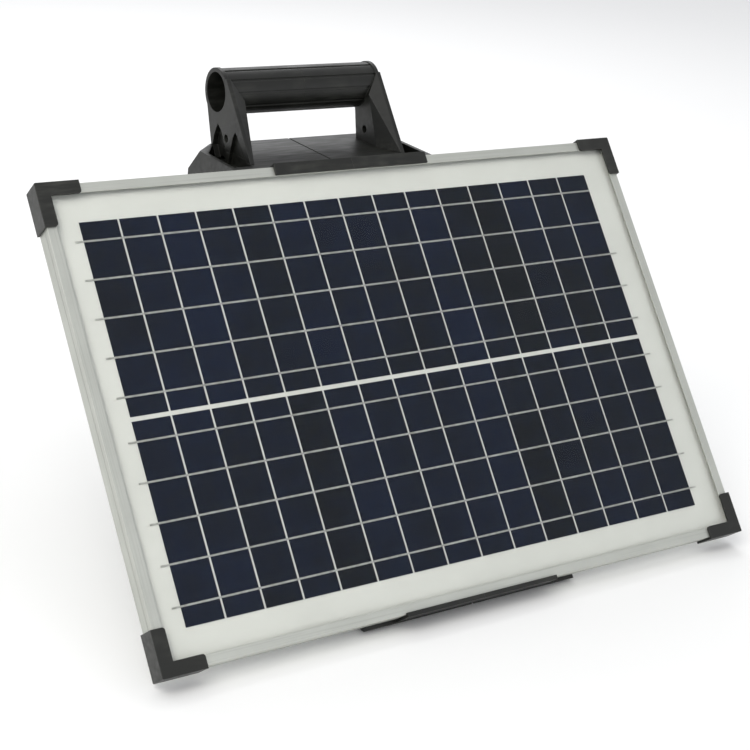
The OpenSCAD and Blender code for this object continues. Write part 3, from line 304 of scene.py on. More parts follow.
def gloss_moulding(name, colour, dull=0.28):
    """Polished-mould plastic: smooth, with faint flow marks in the gloss and soft round edges that a
    painted highlight makes paler.
    """
    made, tree, place = start_material(name)
    rounded, edges = edge_normal_and_highlight(tree, 0.4)
    flow = add(tree, "ShaderNodeTexNoise", None, {
        "Vector": place, "Scale": per_metre(9), "Detail": 3})
    marks = add(tree, "ShaderNodeMapRange", None, {
        "Value": flow.outputs["Fac"], "From Min": 0.3, "From Max": 0.7})
    body = add(tree, "ShaderNodeMix", COLOUR, {
        0: marks.outputs[0], COLOUR_A: colour, COLOUR_B: scaled(colour, 0.78)})
    # Painted highlight: the rounded edges are mixed towards a paler copy of the colour.
    rim_highlight = add(tree, "ShaderNodeMath", {"operation": "MULTIPLY"}, {0: edges, 1: 0.4})
    edge_lit = add(tree, "ShaderNodeMix", COLOUR, {
        0: rim_highlight.outputs[0], COLOUR_A: body.outputs[COLOUR_OUT], COLOUR_B: scaled(colour, 1.5, 0.015)})
    sheen = add(tree, "ShaderNodeMapRange", None, {
        "Value": flow.outputs["Fac"], "From Min": 0.3, "From Max": 0.7,
        "To Min": dull - 0.05, "To Max": dull + 0.08})
    skin = add(tree, "ShaderNodeTexNoise", None, {"Vector": place, "Scale": per_metre(1.6)})
    bump = add(tree, "ShaderNodeBump", None, {
        "Height": skin.outputs["Fac"], "Normal": rounded, "Strength": 0.1, "Distance": 0.05 * MM})
    shader = add(tree, "ShaderNodeBsdfPrincipled", None, {
        "Base Color": edge_lit.outputs[COLOUR_OUT], "Roughness": sheen.outputs[0],
        "Normal": bump.outputs[0], "IOR": 1.5})
    add(tree, "ShaderNodeOutputMaterial", None, {"Surface": shader.outputs[0]})
    return made


def cellular_rubber(name, colour, pore_mm):
    """Moulded or foamed rubber: no gloss, tiny pores and a dusty bloom on raised spots."""
    made, tree, place = start_material(name)
    pores = add(tree, "ShaderNodeTexVoronoi", None, {"Vector": place, "Scale": per_metre(pore_mm)})
    cloud = add(tree, "ShaderNodeTexNoise", None, {
        "Vector": place, "Scale": per_metre(6), "Detail": 4})
    bloom = add(tree, "ShaderNodeMapRange", None, {
        "Value": cloud.outputs["Fac"], "From Min": 0.4, "From Max": 0.8, "To Max": 0.8})
    body = add(tree, "ShaderNodeMix", COLOUR, {
        0: bloom.outputs[0], COLOUR_A: colour, COLOUR_B: scaled(colour, 1.8, 0.01)})
    bump = add(tree, "ShaderNodeBump", None, {
        "Height": pores.outputs["Distance"], "Strength": 0.35, "Distance": 0.12 * MM})
    shader = add(tree, "ShaderNodeBsdfPrincipled", None, {
        "Base Color": body.outputs[COLOUR_OUT], "Normal": bump.outputs[0],
        "IOR": 1.5, "Roughness": 0.86})
    add(tree, "ShaderNodeOutputMaterial", None, {"Surface": shader.outputs[0]})
    return made


def lead_insulation(name, colour):
    """Extruded PVC: a soft satin sheen with faint clouds left by the extruder."""
    made, tree, place = start_material(name)
    cloud = add(tree, "ShaderNodeTexNoise", None, {
        "Vector": place, "Scale": per_metre(4), "Detail": 3})
    share = add(tree, "ShaderNodeMapRange", None, {
        "Value": cloud.outputs["Fac"], "From Min": 0.35, "From Max": 0.7})
    body = add(tree, "ShaderNodeMix", COLOUR, {
        0: share.outputs[0], COLOUR_A: colour, COLOUR_B: scaled(colour, 1.35, 0.008)})
    fine = add(tree, "ShaderNodeTexNoise", None, {"Vector": place, "Scale": per_metre(1.2)})
    satin = add(tree, "ShaderNodeMapRange", None, {
        "Value": fine.outputs["Fac"], "From Min": 0.3, "From Max": 0.7,
        "To Min": 0.38, "To Max": 0.52})
    shader = add(tree, "ShaderNodeBsdfPrincipled", None, {
        "Base Color": body.outputs[COLOUR_OUT], "Roughness": satin.outputs[0],
        "IOR": 1.52, "Coat Weight": 0.15, "Coat Roughness": 0.35})
    add(tree, "ShaderNodeOutputMaterial", None, {"Surface": shader.outputs[0]})
    return made


# ---------- materials of metal pieces ----------

def bright_metal(name, colour, rough, stretch=(1, 1, 1), line_mm=0.6):
    """Drawn, brushed or plated metal: fine lines along the way it was worked, and patchy gloss."""
    made, tree, place = start_material(name)
    rounded, _ = edge_normal_and_highlight(tree, 0.25)
    along = add(tree, "ShaderNodeMapping", None, {"Vector": place, "Scale": stretch})
    lines = add(tree, "ShaderNodeTexNoise", None, {
        "Vector": along.outputs[0], "Scale": per_metre(line_mm), "Detail": 3})
    patches = add(tree, "ShaderNodeTexNoise", None, {
        "Vector": place, "Scale": per_metre(12), "Detail": 3})
    dull = add(tree, "ShaderNodeMapRange", None, {
        "Value": patches.outputs["Fac"], "From Min": 0.35, "From Max": 0.7, "To Max": 0.8})
    body = add(tree, "ShaderNodeMix", COLOUR, {
        0: dull.outputs[0], COLOUR_A: colour, COLOUR_B: scaled(colour, 0.8)})
    satin = add(tree, "ShaderNodeMapRange", None, {
        "Value": lines.outputs["Fac"], "From Min": 0.3, "From Max": 0.7,
        "To Min": rough - 0.07, "To Max": rough + 0.09})
    bump = add(tree, "ShaderNodeBump", None, {
        "Height": lines.outputs["Fac"], "Normal": rounded, "Strength": 0.12, "Distance": 0.03 * MM})
    shader = add(tree, "ShaderNodeBsdfPrincipled", None, {
        "Base Color": body.outputs[COLOUR_OUT], "Roughness": satin.outputs[0],
        "Normal": bump.outputs[0], "Metallic": 1.0})
    add(tree, "ShaderNodeOutputMaterial", None, {"Surface": shader.outputs[0]})
    return made


def anodised_extrusion(name, colour, up_slope):
    """Silver anodised aluminium extrusion: satin and even, with hair-fine die lines along its
    length and a faint cloudiness of the oxide."""
    made, tree, place = start_material(name)
    rounded, _ = edge_normal_and_highlight(tree, 0.35)
    level = add(tree, "ShaderNodeMapping", {"vector_type": "TEXTURE"}, {
        "Vector": place, "Rotation": (TILT, 0, 0)})
    # Die lines are 0.2 mm apart on the real frame and are drawn 0.9 mm apart to show.
    along = add(tree, "ShaderNodeMapping", None, {
        "Vector": level.outputs[0], "Scale": (1, 0.01, 1) if up_slope else (0.01, 1, 1)})
    lines = add(tree, "ShaderNodeTexNoise", None, {
        "Vector": along.outputs[0], "Scale": per_metre(0.9)})
    cloud = add(tree, "ShaderNodeTexNoise", None, {
        "Vector": level.outputs[0], "Scale": per_metre(45), "Detail": 3})
    cloudy = add(tree, "ShaderNodeMapRange", None, {
        "Value": cloud.outputs["Fac"], "From Min": 0.35, "From Max": 0.7})
    shade = add(tree, "ShaderNodeMix", COLOUR, {
        0: cloudy.outputs[0], COLOUR_A: colour, COLOUR_B: scaled(colour, 0.92)})
    groove = add(tree, "ShaderNodeMapRange", None, {
        "Value": lines.outputs["Fac"], "From Min": 0.52, "From Max": 0.72, "To Max": 0.4})
    body = add(tree, "ShaderNodeMix", COLOUR, {
        0: groove.outputs[0], COLOUR_A: shade.outputs[COLOUR_OUT], COLOUR_B: scaled(colour, 0.75)})
    satin = add(tree, "ShaderNodeMapRange", None, {
        "Value": lines.outputs["Fac"], "From Min": 0.3, "From Max": 0.7,
        "To Min": 0.45, "To Max": 0.58})
    bump = add(tree, "ShaderNodeBump", None, {
        "Height": lines.outputs["Fac"], "Normal": rounded, "Strength": 0.1, "Distance": 0.03 * MM})
    shader = add(tree, "ShaderNodeBsdfPrincipled", None, {
        "Base Color": body.outputs[COLOUR_OUT], "Roughness": satin.outputs[0],
        "Normal": bump.outputs[0], "Metallic": 0.85})
    add(tree, "ShaderNodeOutputMaterial", None, {"Surface": shader.outputs[0]})
    return made


# ---------- materials of the laminate ----------

def tempered_solar_glass():
    """Tempered low-iron glass with an anti-reflection coat: nearly clear, with a weak mirror that
    the finely rolled surface softens."""
    made, tree, place = start_material("tempered_solar_glass")
    rolled = add(tree, "ShaderNodeTexNoise", None, {"Vector": place, "Scale": per_metre(60)})
    haze = add(tree, "ShaderNodeMapRange", None, {
        "Value": rolled.outputs["Fac"], "From Min": 0.3, "From Max": 0.7,
        "To Min": 0.03, "To Max": 0.06})
    shader = add(tree, "ShaderNodeBsdfPrincipled", None, {
        "Base Color": linear("#fcfdfd"), "Transmission Weight": 1.0, "IOR": 1.12,
        "Roughness": haze.outputs[0]})
    add(tree, "ShaderNodeOutputMaterial", None, {"Surface": shader.outputs[0]})
    return made


def polycrystalline_silicon(looks):
    """Cast polycrystalline silicon under its blue-black nitride coat: angular crystals that differ a
    little in tone, strips from different wafers, and hair-fine printed fingers up the slope."""
    made, tree, place = start_material("polycrystalline_silicon")
    low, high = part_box("solar_cells")
    pitch = (high.x - low.x + looks.strip_gap * MM) / looks.strips
    middle_up = (low.y + high.y) / 2 * math.cos(TILT) + (low.z + high.z) / 2 * math.sin(TILT)
    level = add(tree, "ShaderNodeMapping", {"vector_type": "TEXTURE"}, {
        "Vector": place, "Rotation": (TILT, 0, 0)})
    across = add(tree, "ShaderNodeSeparateXYZ", None, {0: level.outputs[0]})
    # Crystals, each with a tone of its own.
    grains = add(tree, "ShaderNodeTexVoronoi", None, {
        "Vector": level.outputs[0], "Scale": per_metre(looks.grain)})
    tone = add(tree, "ShaderNodeSeparateColor", None, {0: grains.outputs["Color"]})
    # The strip's number and whether it lies in the upper half pick its wafer's tone.
    strip = add(tree, "ShaderNodeMath", {"operation": "MULTIPLY_ADD"}, {
        0: across.outputs[0], 1: 1 / pitch, 2: -low.x / pitch})
    whole = add(tree, "ShaderNodeMath", {"operation": "FLOOR"}, {0: strip.outputs[0]})
    upper = add(tree, "ShaderNodeMath", {"operation": "GREATER_THAN"}, {
        0: across.outputs[1], 1: middle_up})
    which = add(tree, "ShaderNodeCombineXYZ", None, {0: whole.outputs[0], 1: upper.outputs[0]})
    wafer = add(tree, "ShaderNodeTexWhiteNoise", {"noise_dimensions": "3D"}, {0: which.outputs[0]})
    # A slow drift across the module, under the wafers' and the crystals' tones.
    region = add(tree, "ShaderNodeTexNoise", None, {
        "Vector": level.outputs[0], "Scale": per_metre(90)})
    drift = add(tree, "ShaderNodeMapRange", None, {
        "Value": region.outputs["Fac"], "From Min": 0.35, "From Max": 0.65,
        "To Min": -0.2, "To Max": 0.3})
    crystal = add(tree, "ShaderNodeMath", {"operation": "MULTIPLY_ADD"}, {
        0: tone.outputs[0], 1: 0.3, 2: drift.outputs[0]})
    share = add(tree, "ShaderNodeMath", {"operation": "MULTIPLY_ADD", "use_clamp": True}, {
        0: wafer.outputs[0], 1: 0.75, 2: crystal.outputs[0]})
    silicon = add(tree, "ShaderNodeMix", COLOUR, {
        0: share.outputs[0], COLOUR_A: looks.cell, COLOUR_B: looks.cell_blue})
    # Fingers are 0.05 mm wide on the real cell and are drawn a quarter of their spacing wide.
    wave = add(tree, "ShaderNodeMath", {"operation": "MULTIPLY"}, {
        0: across.outputs[0], 1: per_metre(looks.finger)})
    saw = add(tree, "ShaderNodeMath", {"operation": "FRACT"}, {0: wave.outputs[0]})
    finger = add(tree, "ShaderNodeMath", {"operation": "GREATER_THAN"}, {0: saw.outputs[0], 1: 0.76})
    silver = add(tree, "ShaderNodeMath", {"operation": "MULTIPLY"}, {0: finger.outputs[0], 1: 0.012})
    body = add(tree, "ShaderNodeMix", COLOUR, {
        0: silver.outputs[0], COLOUR_A: silicon.outputs[COLOUR_OUT], COLOUR_B: linear("#8f9498")})
    etched = add(tree, "ShaderNodeMapRange", None, {
        "Value": tone.outputs[1], "To Min": 0.45, "To Max": 0.6})
    shader = add(tree, "ShaderNodeBsdfPrincipled", None, {
        "Base Color": body.outputs[COLOUR_OUT], "Roughness": etched.outputs[0], "IOR": 1.4,
        "Specular IOR Level": 0.12})
    add(tree, "ShaderNodeOutputMaterial", None, {"Surface": shader.outputs[0]})
    return made


def tinned_ribbon():
    """Tinned copper ribbon: a soft grey metal with a rippled solder skin."""
    made, tree, place = start_material("tinned_ribbon")
    skin = add(tree, "ShaderNodeTexNoise", None, {
        "Vector": place, "Scale": per_metre(3), "Detail": 3})
    ripple = add(tree, "ShaderNodeMapRange", None, {
        "Value": skin.outputs["Fac"], "From Min": 0.3, "From Max": 0.7})
    body = add(tree, "ShaderNodeMix", COLOUR, {
        0: ripple.outputs[0], COLOUR_A: linear("#b0b1ac"), COLOUR_B: linear("#8b8c86")})
    satin = add(tree, "ShaderNodeMapRange", None, {
        "Value": skin.outputs["Fac"], "From Min": 0.3, "From Max": 0.7,
        "To Min": 0.42, "To Max": 0.6})
    shader = add(tree, "ShaderNodeBsdfPrincipled", None, {
        "Base Color": body.outputs[COLOUR_OUT], "Roughness": satin.outputs[0], "Metallic": 0.6})
    add(tree, "ShaderNodeOutputMaterial", None, {"Surface": shader.outputs[0]})
    return made


def white_laminate(looks):
    """White laminated film seen through its clear resin: even, soft, with faint lamination marks."""
    made, tree, place = start_material("white_laminate")
    marks = add(tree, "ShaderNodeTexNoise", None, {
        "Vector": place, "Scale": per_metre(60), "Detail": 3})
    faint = add(tree, "ShaderNodeMapRange", None, {
        "Value": marks.outputs["Fac"], "From Min": 0.35, "From Max": 0.7})
    body = add(tree, "ShaderNodeMix", COLOUR, {
        0: faint.outputs[0], COLOUR_A: looks.sheet, COLOUR_B: scaled(looks.sheet, 0.95)})
    shader = add(tree, "ShaderNodeBsdfPrincipled", None, {
        "Base Color": body.outputs[COLOUR_OUT], "IOR": 1.45, "Roughness": 0.55,
        "Specular IOR Level": 0.3})
    add(tree, "ShaderNodeOutputMaterial", None, {"Surface": shader.outputs[0]})
    return made


# ---------- materials inside ----------

def epoxy_board():
    """Glass-epoxy circuit board under green lacquer: traces show as slightly paler lines."""
    made, tree, place = start_material("epoxy_board")
    upright = add(tree, "ShaderNodeMapping", None, {
        "Vector": place, "Rotation": (math.pi / 2, 0, 0)})
    tracks = add(tree, "ShaderNodeTexBrick", None, {
        "Vector": upright.outputs[0], "Scale": 1.0, "Brick Width": 9 * MM, "Row Height": 3.2 * MM,
        "Mortar Size": 0.35 * MM, "Color1": linear("#1d5233"), "Color2": linear("#1a4a2f"),
        "Mortar": linear("#3b7a4c")})
    shader = add(tree, "ShaderNodeBsdfPrincipled", None, {
        "Base Color": tracks.outputs[0], "IOR": 1.55, "Roughness": 0.3})
    add(tree, "ShaderNodeOutputMaterial", None, {"Surface": shader.outputs[0]})
    return made


def enamelled_winding():
    """Enamelled copper wire wound in close layers: amber, glossy and ribbed turn by turn, with
    painted shade between the turns and a painted highlight on their crests.
    """
    made, tree, place = start_material("enamelled_winding")
    turns = add(tree, "ShaderNodeTexWave", {"bands_direction": "Z"}, {
        "Vector": place, "Scale": per_metre(0.9) / (2 * math.pi), "Distortion": 0.4})
    # Painted shade and highlight: the colour darkens in the grooves between the turns and brightens
    # on their crests, following the bump.
    body = add(tree, "ShaderNodeMix", COLOUR, {
        0: turns.outputs["Fac"], COLOUR_A: linear("#6d3512"), COLOUR_B: linear("#b86d32")})
    bump = add(tree, "ShaderNodeBump", None, {
        "Height": turns.outputs["Fac"], "Strength": 0.6, "Distance": 0.2 * MM})
    shader = add(tree, "ShaderNodeBsdfPrincipled", None, {
        "Base Color": body.outputs[COLOUR_OUT], "Normal": bump.outputs[0],
        "Metallic": 0.85, "Roughness": 0.3})
    add(tree, "ShaderNodeOutputMaterial", None, {"Surface": shader.outputs[0]})
    return made


def clear_moulding(name, colour, rough):
    """Moulded glass or clear plastic that lets light through, with a trace of haze."""
    made, tree, place = start_material(name)
    cloud = add(tree, "ShaderNodeTexNoise", None, {"Vector": place, "Scale": per_metre(2)})
    haze = add(tree, "ShaderNodeMapRange", None, {
        "Value": cloud.outputs["Fac"], "From Min": 0.3, "From Max": 0.7,
        "To Min": rough, "To Max": rough + 0.05})
    shader = add(tree, "ShaderNodeBsdfPrincipled", None, {
        "Base Color": colour, "Roughness": haze.outputs[0], "Transmission Weight": 0.85,
        "IOR": 1.48})
    add(tree, "ShaderNodeOutputMaterial", None, {"Surface": shader.outputs[0]})
    return made


def matt_floor(colour):
    """Matt painted floor: pale and even, with a barely visible cloudiness."""
    made, tree, place = start_material("matt_floor")
    cloud = add(tree, "ShaderNodeTexNoise", None, {
        "Vector": place, "Scale": per_metre(400), "Detail": 3})
    body = add(tree, "ShaderNodeMix", COLOUR, {
        0: cloud.outputs["Fac"], COLOUR_A: colour, COLOUR_B: scaled(colour, 0.99)})
    shader = add(tree, "ShaderNodeBsdfPrincipled", None, {
        "Base Color": body.outputs[COLOUR_OUT], "Roughness": 0.9, "Specular IOR Level": 0.2})
    add(tree, "ShaderNodeOutputMaterial", None, {"Surface": shader.outputs[0]})
    return made


# ---------- fine pieces ----------

def threaded_rod(work, centre, low_y, high_y, radius, pitch):
    """Adds a rod along Y with a cut helical thread and chamfered ends."""
    rings = int((high_y - low_y) / pitch * RINGS_PER_TURN)
    grid = []
    for i in range(rings + 1):
        y = low_y + (high_y - low_y) * i / rings
        end = min(y - low_y, high_y - y)
        ring = []
        for k in range(POINTS_AROUND):
            phase = (y / pitch + k / POINTS_AROUND) % 1
            thread = radius - THREAD_DEPTH * pitch * abs(2 * phase - 1)
            r = min(thread, radius - END_CHAMFER + end * CHAMFER_SLOPE)
            turn = 2 * math.pi * k / POINTS_AROUND
            ring.append(work.verts.new(centre + Vector((r * math.cos(turn), y, r * math.sin(turn)))))
        grid.append(ring)
    for i in range(rings):
        for k in range(POINTS_AROUND):
            n = (k + 1) % POINTS_AROUND
            work.faces.new((grid[i][k], grid[i][n], grid[i + 1][n], grid[i + 1][k]))
    work.faces.new(grid[0])
    work.faces.new(list(reversed(grid[-1])))


def hexagon_nut(work, centre, y, radius, thickness):
    """Adds a hexagonal nut body round an axis along Y, from y outwards."""
    near, far = [], []
    for k in range(6):
        turn = math.radians(60 * k)
        x, z = radius * math.cos(turn), radius * math.sin(turn)
        near.append(work.verts.new(centre + Vector((x, y, z))))
        far.append(work.verts.new(centre + Vector((x, y + thickness, z))))
    work.faces.new(near)
    work.faces.new(list(reversed(far)))
    for k in range(6):
        n = (k + 1) % 6
        work.faces.new((near[k], near[n], far[n], far[k]))


def threaded_stud(name, looks, steel):
    """A terminal stud: a threaded rod with the nut that holds it inside the plate."""
    low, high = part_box(name)
    x, z = middle_xz(name)
    centre = Vector((x, 0, z))
    work = bmesh.new()
    threaded_rod(work, centre, low.y, high.y, STUD_RADIUS, looks.pitch * MM)
    hexagon_nut(work, centre, low.y + NUT_PLACE, (high.x - low.x) / 2, NUT_THICKNESS)
    piece = mesh_piece(name + "_threaded", work, steel)
    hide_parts(name)


def flat_mark(work, points, y):
    """One printed mark on the control plate, from an outline in X and Z."""
    front = [work.verts.new((x, y + INK, z)) for x, z in points]
    back = [work.verts.new((x, y, z)) for x, z in points]
    work.faces.new(front)
    work.faces.new(list(reversed(back)))
    for i in range(len(points)):
        n = (i + 1) % len(points)
        work.faces.new((front[i], back[i], back[n], front[n]))


def bar(x0, z0, x1, z1, width):
    """Corners of a straight bar between two points."""
    along = Vector((x1 - x0, z1 - z0)).normalized()
    side = Vector((-along.y, along.x)) * width / 2
    return [(x0 - side.x, z0 - side.y), (x1 - side.x, z1 - side.y),
            (x1 + side.x, z1 + side.y), (x0 + side.x, z0 + side.y)]


def middle_xz(name):
    """X and Z of a node's middle."""
    low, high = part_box(name)
    return (low.x + high.x) / 2, (low.z + high.z) / 2


# ---------- operators ----------

class ENERGIZER_OT_housing(bpy.types.Operator):
    """Finishes the two housing shells, the handle halves, the seam seal, the screws and the feet"""
    bl_idname = "energizer.housing"
    bl_label = "Housing and Handle"

    def execute(self, context):
        looks = context.scene.energizer_housing
        shell = moulded_abs("moulded_abs_black", looks.plastic, looks.rubbed_and_lit, looks.grit, looks.edge)
        dress(["housing_left", "housing_right", "handle_left", "handle_right"], shell)
        dress(["seam_gasket"], cellular_rubber("foam_seal", linear("#242424"), 0.7))
        dress(["base_feet"], cellular_rubber("rubber_feet", linear("#1e1e1d"), 1.1), 0.5)
        dress(["shell_screws"], bright_metal("zinc_plated_steel", linear("#b9bbb8"), 0.3))
        return {"FINISHED"}


class ENERGIZER_OT_module_frame(bpy.types.Operator):
    """Finishes the module's extruded rails, the corner keys and the corner caps"""
    bl_idname = "energizer.module_frame"
    bl_label = "Module Frame"

    def execute(self, context):
        looks = context.scene.energizer_module
        dress(["rail_top", "rail_bottom"],
              anodised_extrusion("anodised_rail_across", looks.metal, False), 0.3)
        dress(["rail_left", "rail_right"],
              anodised_extrusion("anodised_rail_upright", looks.metal, True), 0.3)
        dress(["corner_keys"], bright_metal("cast_aluminium", linear("#8d9092"), 0.5))
        dress(["corner_caps"], moulded_abs("moulded_polypropylene_caps", linear("#181916"),
                                           linear("#484944"), 1.1, 1.0, 0.4))
        return {"FINISHED"}


class ENERGIZER_OT_laminate(bpy.types.Operator):
    """Finishes the glass, the cell strips, the ribbons, the backsheet and the edge seal"""
    bl_idname = "energizer.laminate"
    bl_label = "Solar Laminate"

    def execute(self, context):
        looks = context.scene.energizer_module
        dress(["front_glass"], tempered_solar_glass())
        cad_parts["front_glass"].visible_shadow = False
        dress(["solar_cells"], polycrystalline_silicon(looks))
        dress(["cell_ribbons"], tinned_ribbon())
        dress(["backsheet"], white_laminate(looks))
        dress(["glass_seal"], cellular_rubber("silicone_seal", linear("#3b3b3a"), 0.6))
        return {"FINISHED"}


class ENERGIZER_OT_wiring(bpy.types.Operator):
    """Finishes the junction box behind the module and its lead"""
    bl_idname = "energizer.wiring"
    bl_label = "Module Wiring"

    def execute(self, context):
        box = moulded_abs("moulded_polycarbonate", linear("#1f2021"), linear("#3c3d3e"), 0.8, 0.4)
        dress(["junction_box", "junction_lid", "module_gland"], box)
        dress(["bypass_diodes"], gloss_moulding("epoxy_diode", linear("#222324"), 0.35))
        dress(["module_lead", "battery_lead_black"], lead_insulation("pvc_black", linear("#131313")))
        return {"FINISHED"}


class ENERGIZER_OT_battery(bpy.types.Operator):
    """Finishes the battery, its strap, posts, lugs and leads"""
    bl_idname = "energizer.battery"
    bl_label = "Battery"

    def execute(self, context):
        dress(["battery_case"], moulded_abs("moulded_battery_case", linear("#363a3e"),
                                            linear("#565b60"), 1.4, 0.6, 0.42))
        dress(["battery_lid"], moulded_abs("moulded_battery_lid", linear("#25292d"),
                                           linear("#4a4f54"), 1.2, 0.6, 0.4))
        dress(["battery_plates"],
              bright_metal("cast_lead", linear("#6a6d6e"), 0.62, (1, 1, 0.05), 1.2))
        dress(["battery_posts", "lead_lugs", "fuse_holder"],
              bright_metal("tinned_brass", linear("#b9ad86"), 0.34))
        dress(["battery_pads"], cellular_rubber("cellular_pad", linear("#3f3f3e"), 1.6))
        dress(["battery_strap"], gloss_moulding("powder_coated_steel", linear("#4b4e50"), 0.5))
        dress(["strap_screws"], bright_metal("zinc_plated_screw", linear("#b6b8b5"), 0.32))
        dress(["battery_lead_red"], lead_insulation("pvc_red", linear("#8e1c14")))
        return {"FINISHED"}


class ENERGIZER_OT_electronics(bpy.types.Operator):
    """Finishes the circuit board and what is mounted on it"""
    bl_idname = "energizer.electronics"
    bl_label = "Electronics"

    def execute(self, context):
        dress(["circuit_board"], epoxy_board())
        dress(["board_screws"], bright_metal("zinc_board_screw", linear("#b6b8b5"), 0.3))
        dress(["transformer_core"],
              bright_metal("lacquered_core_iron", linear("#4a4c50"), 0.55, (1, 0.04, 1), 0.5))
        dress(["transformer_coil"], enamelled_winding())
        dress(["pulse_capacitors"], gloss_moulding("dipped_epoxy_blue", linear("#294891"), 0.25))
        dress(["heat_sink"],
              bright_metal("extruded_aluminium", linear("#a3a6a8"), 0.42, (1, 1, 0.02)))
        dress(["fuse"], clear_moulding("fuse_glass", linear("#e3e6e4"), 0.04))
        dress(["fence_lead"], lead_insulation("pvc_fence_red", linear("#9c2318")))
        dress(["earth_lead"], lead_insulation("pvc_earth_green", linear("#1b5a32")))
        return {"FINISHED"}


class ENERGIZER_OT_controls(bpy.types.Operator):
    """Finishes the control plate and the switch, and adds the printed marks"""
    bl_idname = "energizer.controls"
    bl_label = "Controls"

    def execute(self, context):
        looks = context.scene.energizer_controls
        dress(["control_plate"],
              moulded_abs("moulded_plate", looks.plate, linear("#4e5052"), 1.0, 0.4))
        dress(["plate_screws"], bright_metal("stainless_screw", linear("#c3c5c3"), 0.25))
        dress(["switch_body"], gloss_moulding("nylon_switch_body", linear("#2b2d2f"), 0.4))
        dress(["switch_shaft"], bright_metal("turned_shaft", linear("#bdbfc0"), 0.28))
        dress(["switch_knob"], gloss_moulding("moulded_red_knob", looks.switch, 0.32), 0.5)
        dress(["indicator_lenses"], clear_moulding("diffused_lens", linear("#7fbf4a"), 0.2))
        self.print_marks()
        return {"FINISHED"}

    def print_marks(self):
        """Dial ticks round the switch, a bolt over the fence terminal and a sign over the earth's."""
        plate_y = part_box("plate_screws")[1].y - SCREW_HEAD
        work = bmesh.new()
        cx, cz = middle_xz("switch_knob")
        for i in range(DIAL_TICKS):
            angle = math.radians(DIAL_TOP - DIAL_STEP * i)
            outer = DIAL_SHORT if i % 2 else DIAL_LONG
            flat_mark(work, bar(cx + DIAL_INNER * math.cos(angle), cz + DIAL_INNER * math.sin(angle),
                                cx + outer * math.cos(angle), cz + outer * math.sin(angle),
                                TICK_WIDTH), plate_y)
        fx, fz = middle_xz("fence_washer")
        flat_mark(work, [(fx + x * MM, fz + MARK_RAISE + z * MM) for x, z in BOLT_POINTS], plate_y)
        ex, ez = middle_xz("earth_washer")
        ez += MARK_RAISE
        flat_mark(work, bar(ex, ez, ex, ez + EARTH_STEM, SIGN_WIDTH), plate_y)
        for half, drop in EARTH_BARS:
            flat_mark(work, bar(ex - half * MM, ez - drop * MM, ex + half * MM, ez - drop * MM,
                                SIGN_WIDTH), plate_y)
        ink = gloss_moulding("pad_printed_white", linear("#d9d9d4"), 0.5)
        mesh_piece("control_marks", work, ink)


class ENERGIZER_OT_terminals(bpy.types.Operator):
    """Cuts the threads of the two studs and finishes washers and knobs"""
    bl_idname = "energizer.terminals"
    bl_label = "Terminals"

    def execute(self, context):
        looks = context.scene.energizer_controls
        steel = bright_metal("stainless_stud", linear("#c2c4c3"), 0.24, line_mm=0.5)
        for name in ("fence_stud", "earth_stud"):
            threaded_stud(name, looks, steel)
        dress(["fence_washer", "earth_washer"],
              bright_metal("stainless_washer", linear("#c8cac9"), 0.3), 0.2)
        dress(["fence_knob"], gloss_moulding("moulded_polyamide_red", looks.fence, 0.36), 0.5)
        dress(["earth_knob"], gloss_moulding("moulded_polyamide_green", looks.earth, 0.36), 0.5)
        return {"FINISHED"}


class ENERGIZER_OT_door(bpy.types.Operator):
    """Finishes the battery door, its seal, the hinge pins and the blank rating plate"""
    bl_idname = "energizer.door"
    bl_label = "Battery Door"

    def execute(self, context):
        looks = context.scene.energizer_housing
        dress(["rear_door"], moulded_abs("moulded_door", looks.plastic, looks.rubbed_and_lit, looks.grit,
                                         looks.edge), 0.4)
        dress(["door_gasket"], cellular_rubber("door_foam", linear("#2e2e2e"), 0.9))
        dress(["hinge_pins"], bright_metal("drawn_pin", linear("#bcbebd"), 0.28, (1, 1, 0.05)))
        dress(["rating_plate"], bright_metal("brushed_foil", linear("#b4b6b6"), 0.4, (0.02, 1, 1)))
        return {"FINISHED"}


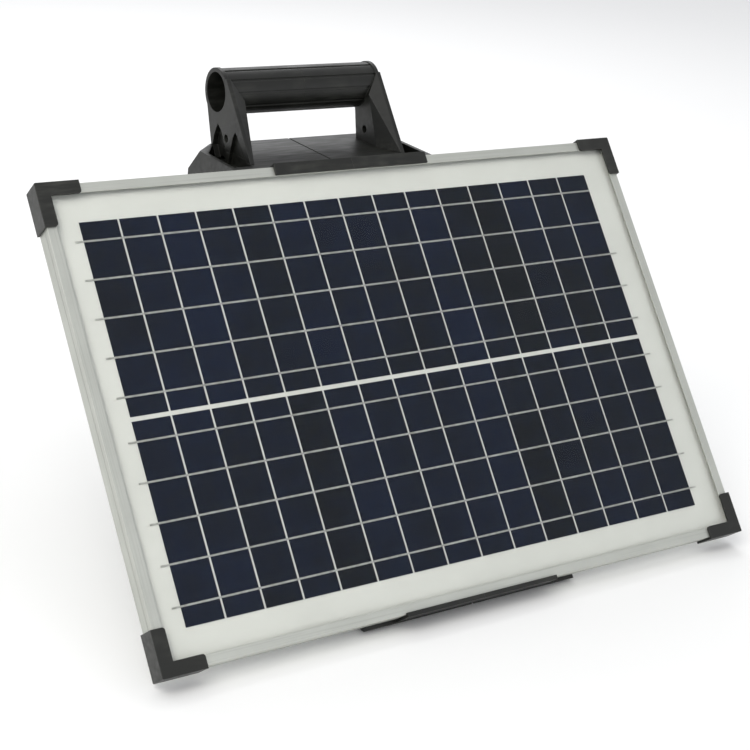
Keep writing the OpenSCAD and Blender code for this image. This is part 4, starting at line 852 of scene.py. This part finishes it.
class ENERGIZER_OT_stage(bpy.types.Operator):
    """Sets up the pale floor, the soft lights and the camera"""
    bl_idname = "energizer.stage"
    bl_label = "Stage"

    def execute(self, context):
        looks = context.scene.energizer_stage
        context.scene.view_settings.view_transform = "Standard"
        self.lay_floor(context, looks)
        self.set_lights(context, looks)
        self.place_camera(context, looks)
        return {"FINISHED"}

    def lay_floor(self, context, looks):
        """A large matt floor."""
        work = bmesh.new()
        bmesh.ops.create_grid(work, x_segments=FLOOR_CELLS, y_segments=FLOOR_CELLS,
                              size=FLOOR_REACH)
        data = bpy.data.meshes.new("floor")
        work.to_mesh(data)
        work.free()
        data.materials.append(matt_floor(looks.floor))
        floor = bpy.data.objects.new("floor", data)
        floor.location.z = -FLOOR_DROP
        context.scene.collection.objects.link(floor)

    def set_lights(self, context, looks):
        """An even pale surround, a large key from the front left and a weaker fill and back."""
        world = bpy.data.worlds.new("studio")
        world.use_nodes = True
        surround = world.node_tree.nodes["Background"]
        surround.inputs["Color"].default_value = linear("#fbfcff")
        surround.inputs["Strength"].default_value = looks.sky
        context.scene.world = world
        for name, place, size, share, tint in LAMPS:
            lamp = bpy.data.lights.new(name, "AREA")
            lamp.size = size
            lamp.energy = looks.key * share
            lamp.color = linear(tint)[:3]
            stand = bpy.data.objects.new(name, lamp)
            stand.location = place
            aim = LAMP_TARGET - Vector(place)
            stand.rotation_euler = aim.to_track_quat("-Z", "Y").to_euler()
            context.scene.collection.objects.link(stand)

    def place_camera(self, context, looks):
        """The camera stands front left of the object, above it, and is turned a little."""
        eye = bpy.data.cameras.new("camera")
        eye.lens = looks.lens
        eye.sensor_width = SENSOR_WIDTH
        eye.clip_start, eye.clip_end = CAMERA_REACH
        stand = bpy.data.objects.new("camera", eye)
        stand.location = CAMERA_PLACE
        stand.rotation_euler = Euler([math.radians(a) for a in CAMERA_TURN])
        context.scene.collection.objects.link(stand)
        context.scene.camera = stand


class ENERGIZER_PT_panel(bpy.types.Panel):
    """Lists the steps that finish the energizer"""
    bl_idname = "ENERGIZER_PT_panel"
    bl_label = "Solar Fence Energizer"
    bl_space_type = "VIEW_3D"
    bl_region_type = "UI"
    bl_category = "Energizer"

    def draw(self, context):
        for step in STEPS:
            self.layout.operator(step.bl_idname, text=step.bl_label)
        for group in GROUPS:
            looks = getattr(context.scene, group)
            for key in looks.__annotations__:
                self.layout.prop(looks, key)


GROUPS = {"energizer_housing": HousingLooks, "energizer_module": ModuleLooks,
          "energizer_controls": ControlLooks, "energizer_stage": StageLooks}
STEPS = (ENERGIZER_OT_stage, ENERGIZER_OT_housing, ENERGIZER_OT_module_frame, ENERGIZER_OT_laminate,
         ENERGIZER_OT_wiring, ENERGIZER_OT_battery, ENERGIZER_OT_electronics, ENERGIZER_OT_controls,
         ENERGIZER_OT_terminals, ENERGIZER_OT_door)


def register():
    for kind in (*GROUPS.values(), *STEPS, ENERGIZER_PT_panel):
        bpy.utils.register_class(kind)
    for key, kind in GROUPS.items():
        setattr(bpy.types.Scene, key, PointerProperty(type=kind))


def unregister():
    for key in GROUPS:
        delattr(bpy.types.Scene, key)
    for kind in reversed((*GROUPS.values(), *STEPS, ENERGIZER_PT_panel)):
        bpy.utils.unregister_class(kind)


def main():
    """Runs every step."""
    register()
    for step in STEPS:
        group, _, name = step.bl_idname.partition(".")
        getattr(getattr(bpy.ops, group), name)()


if __name__ == "__main__":
    main()
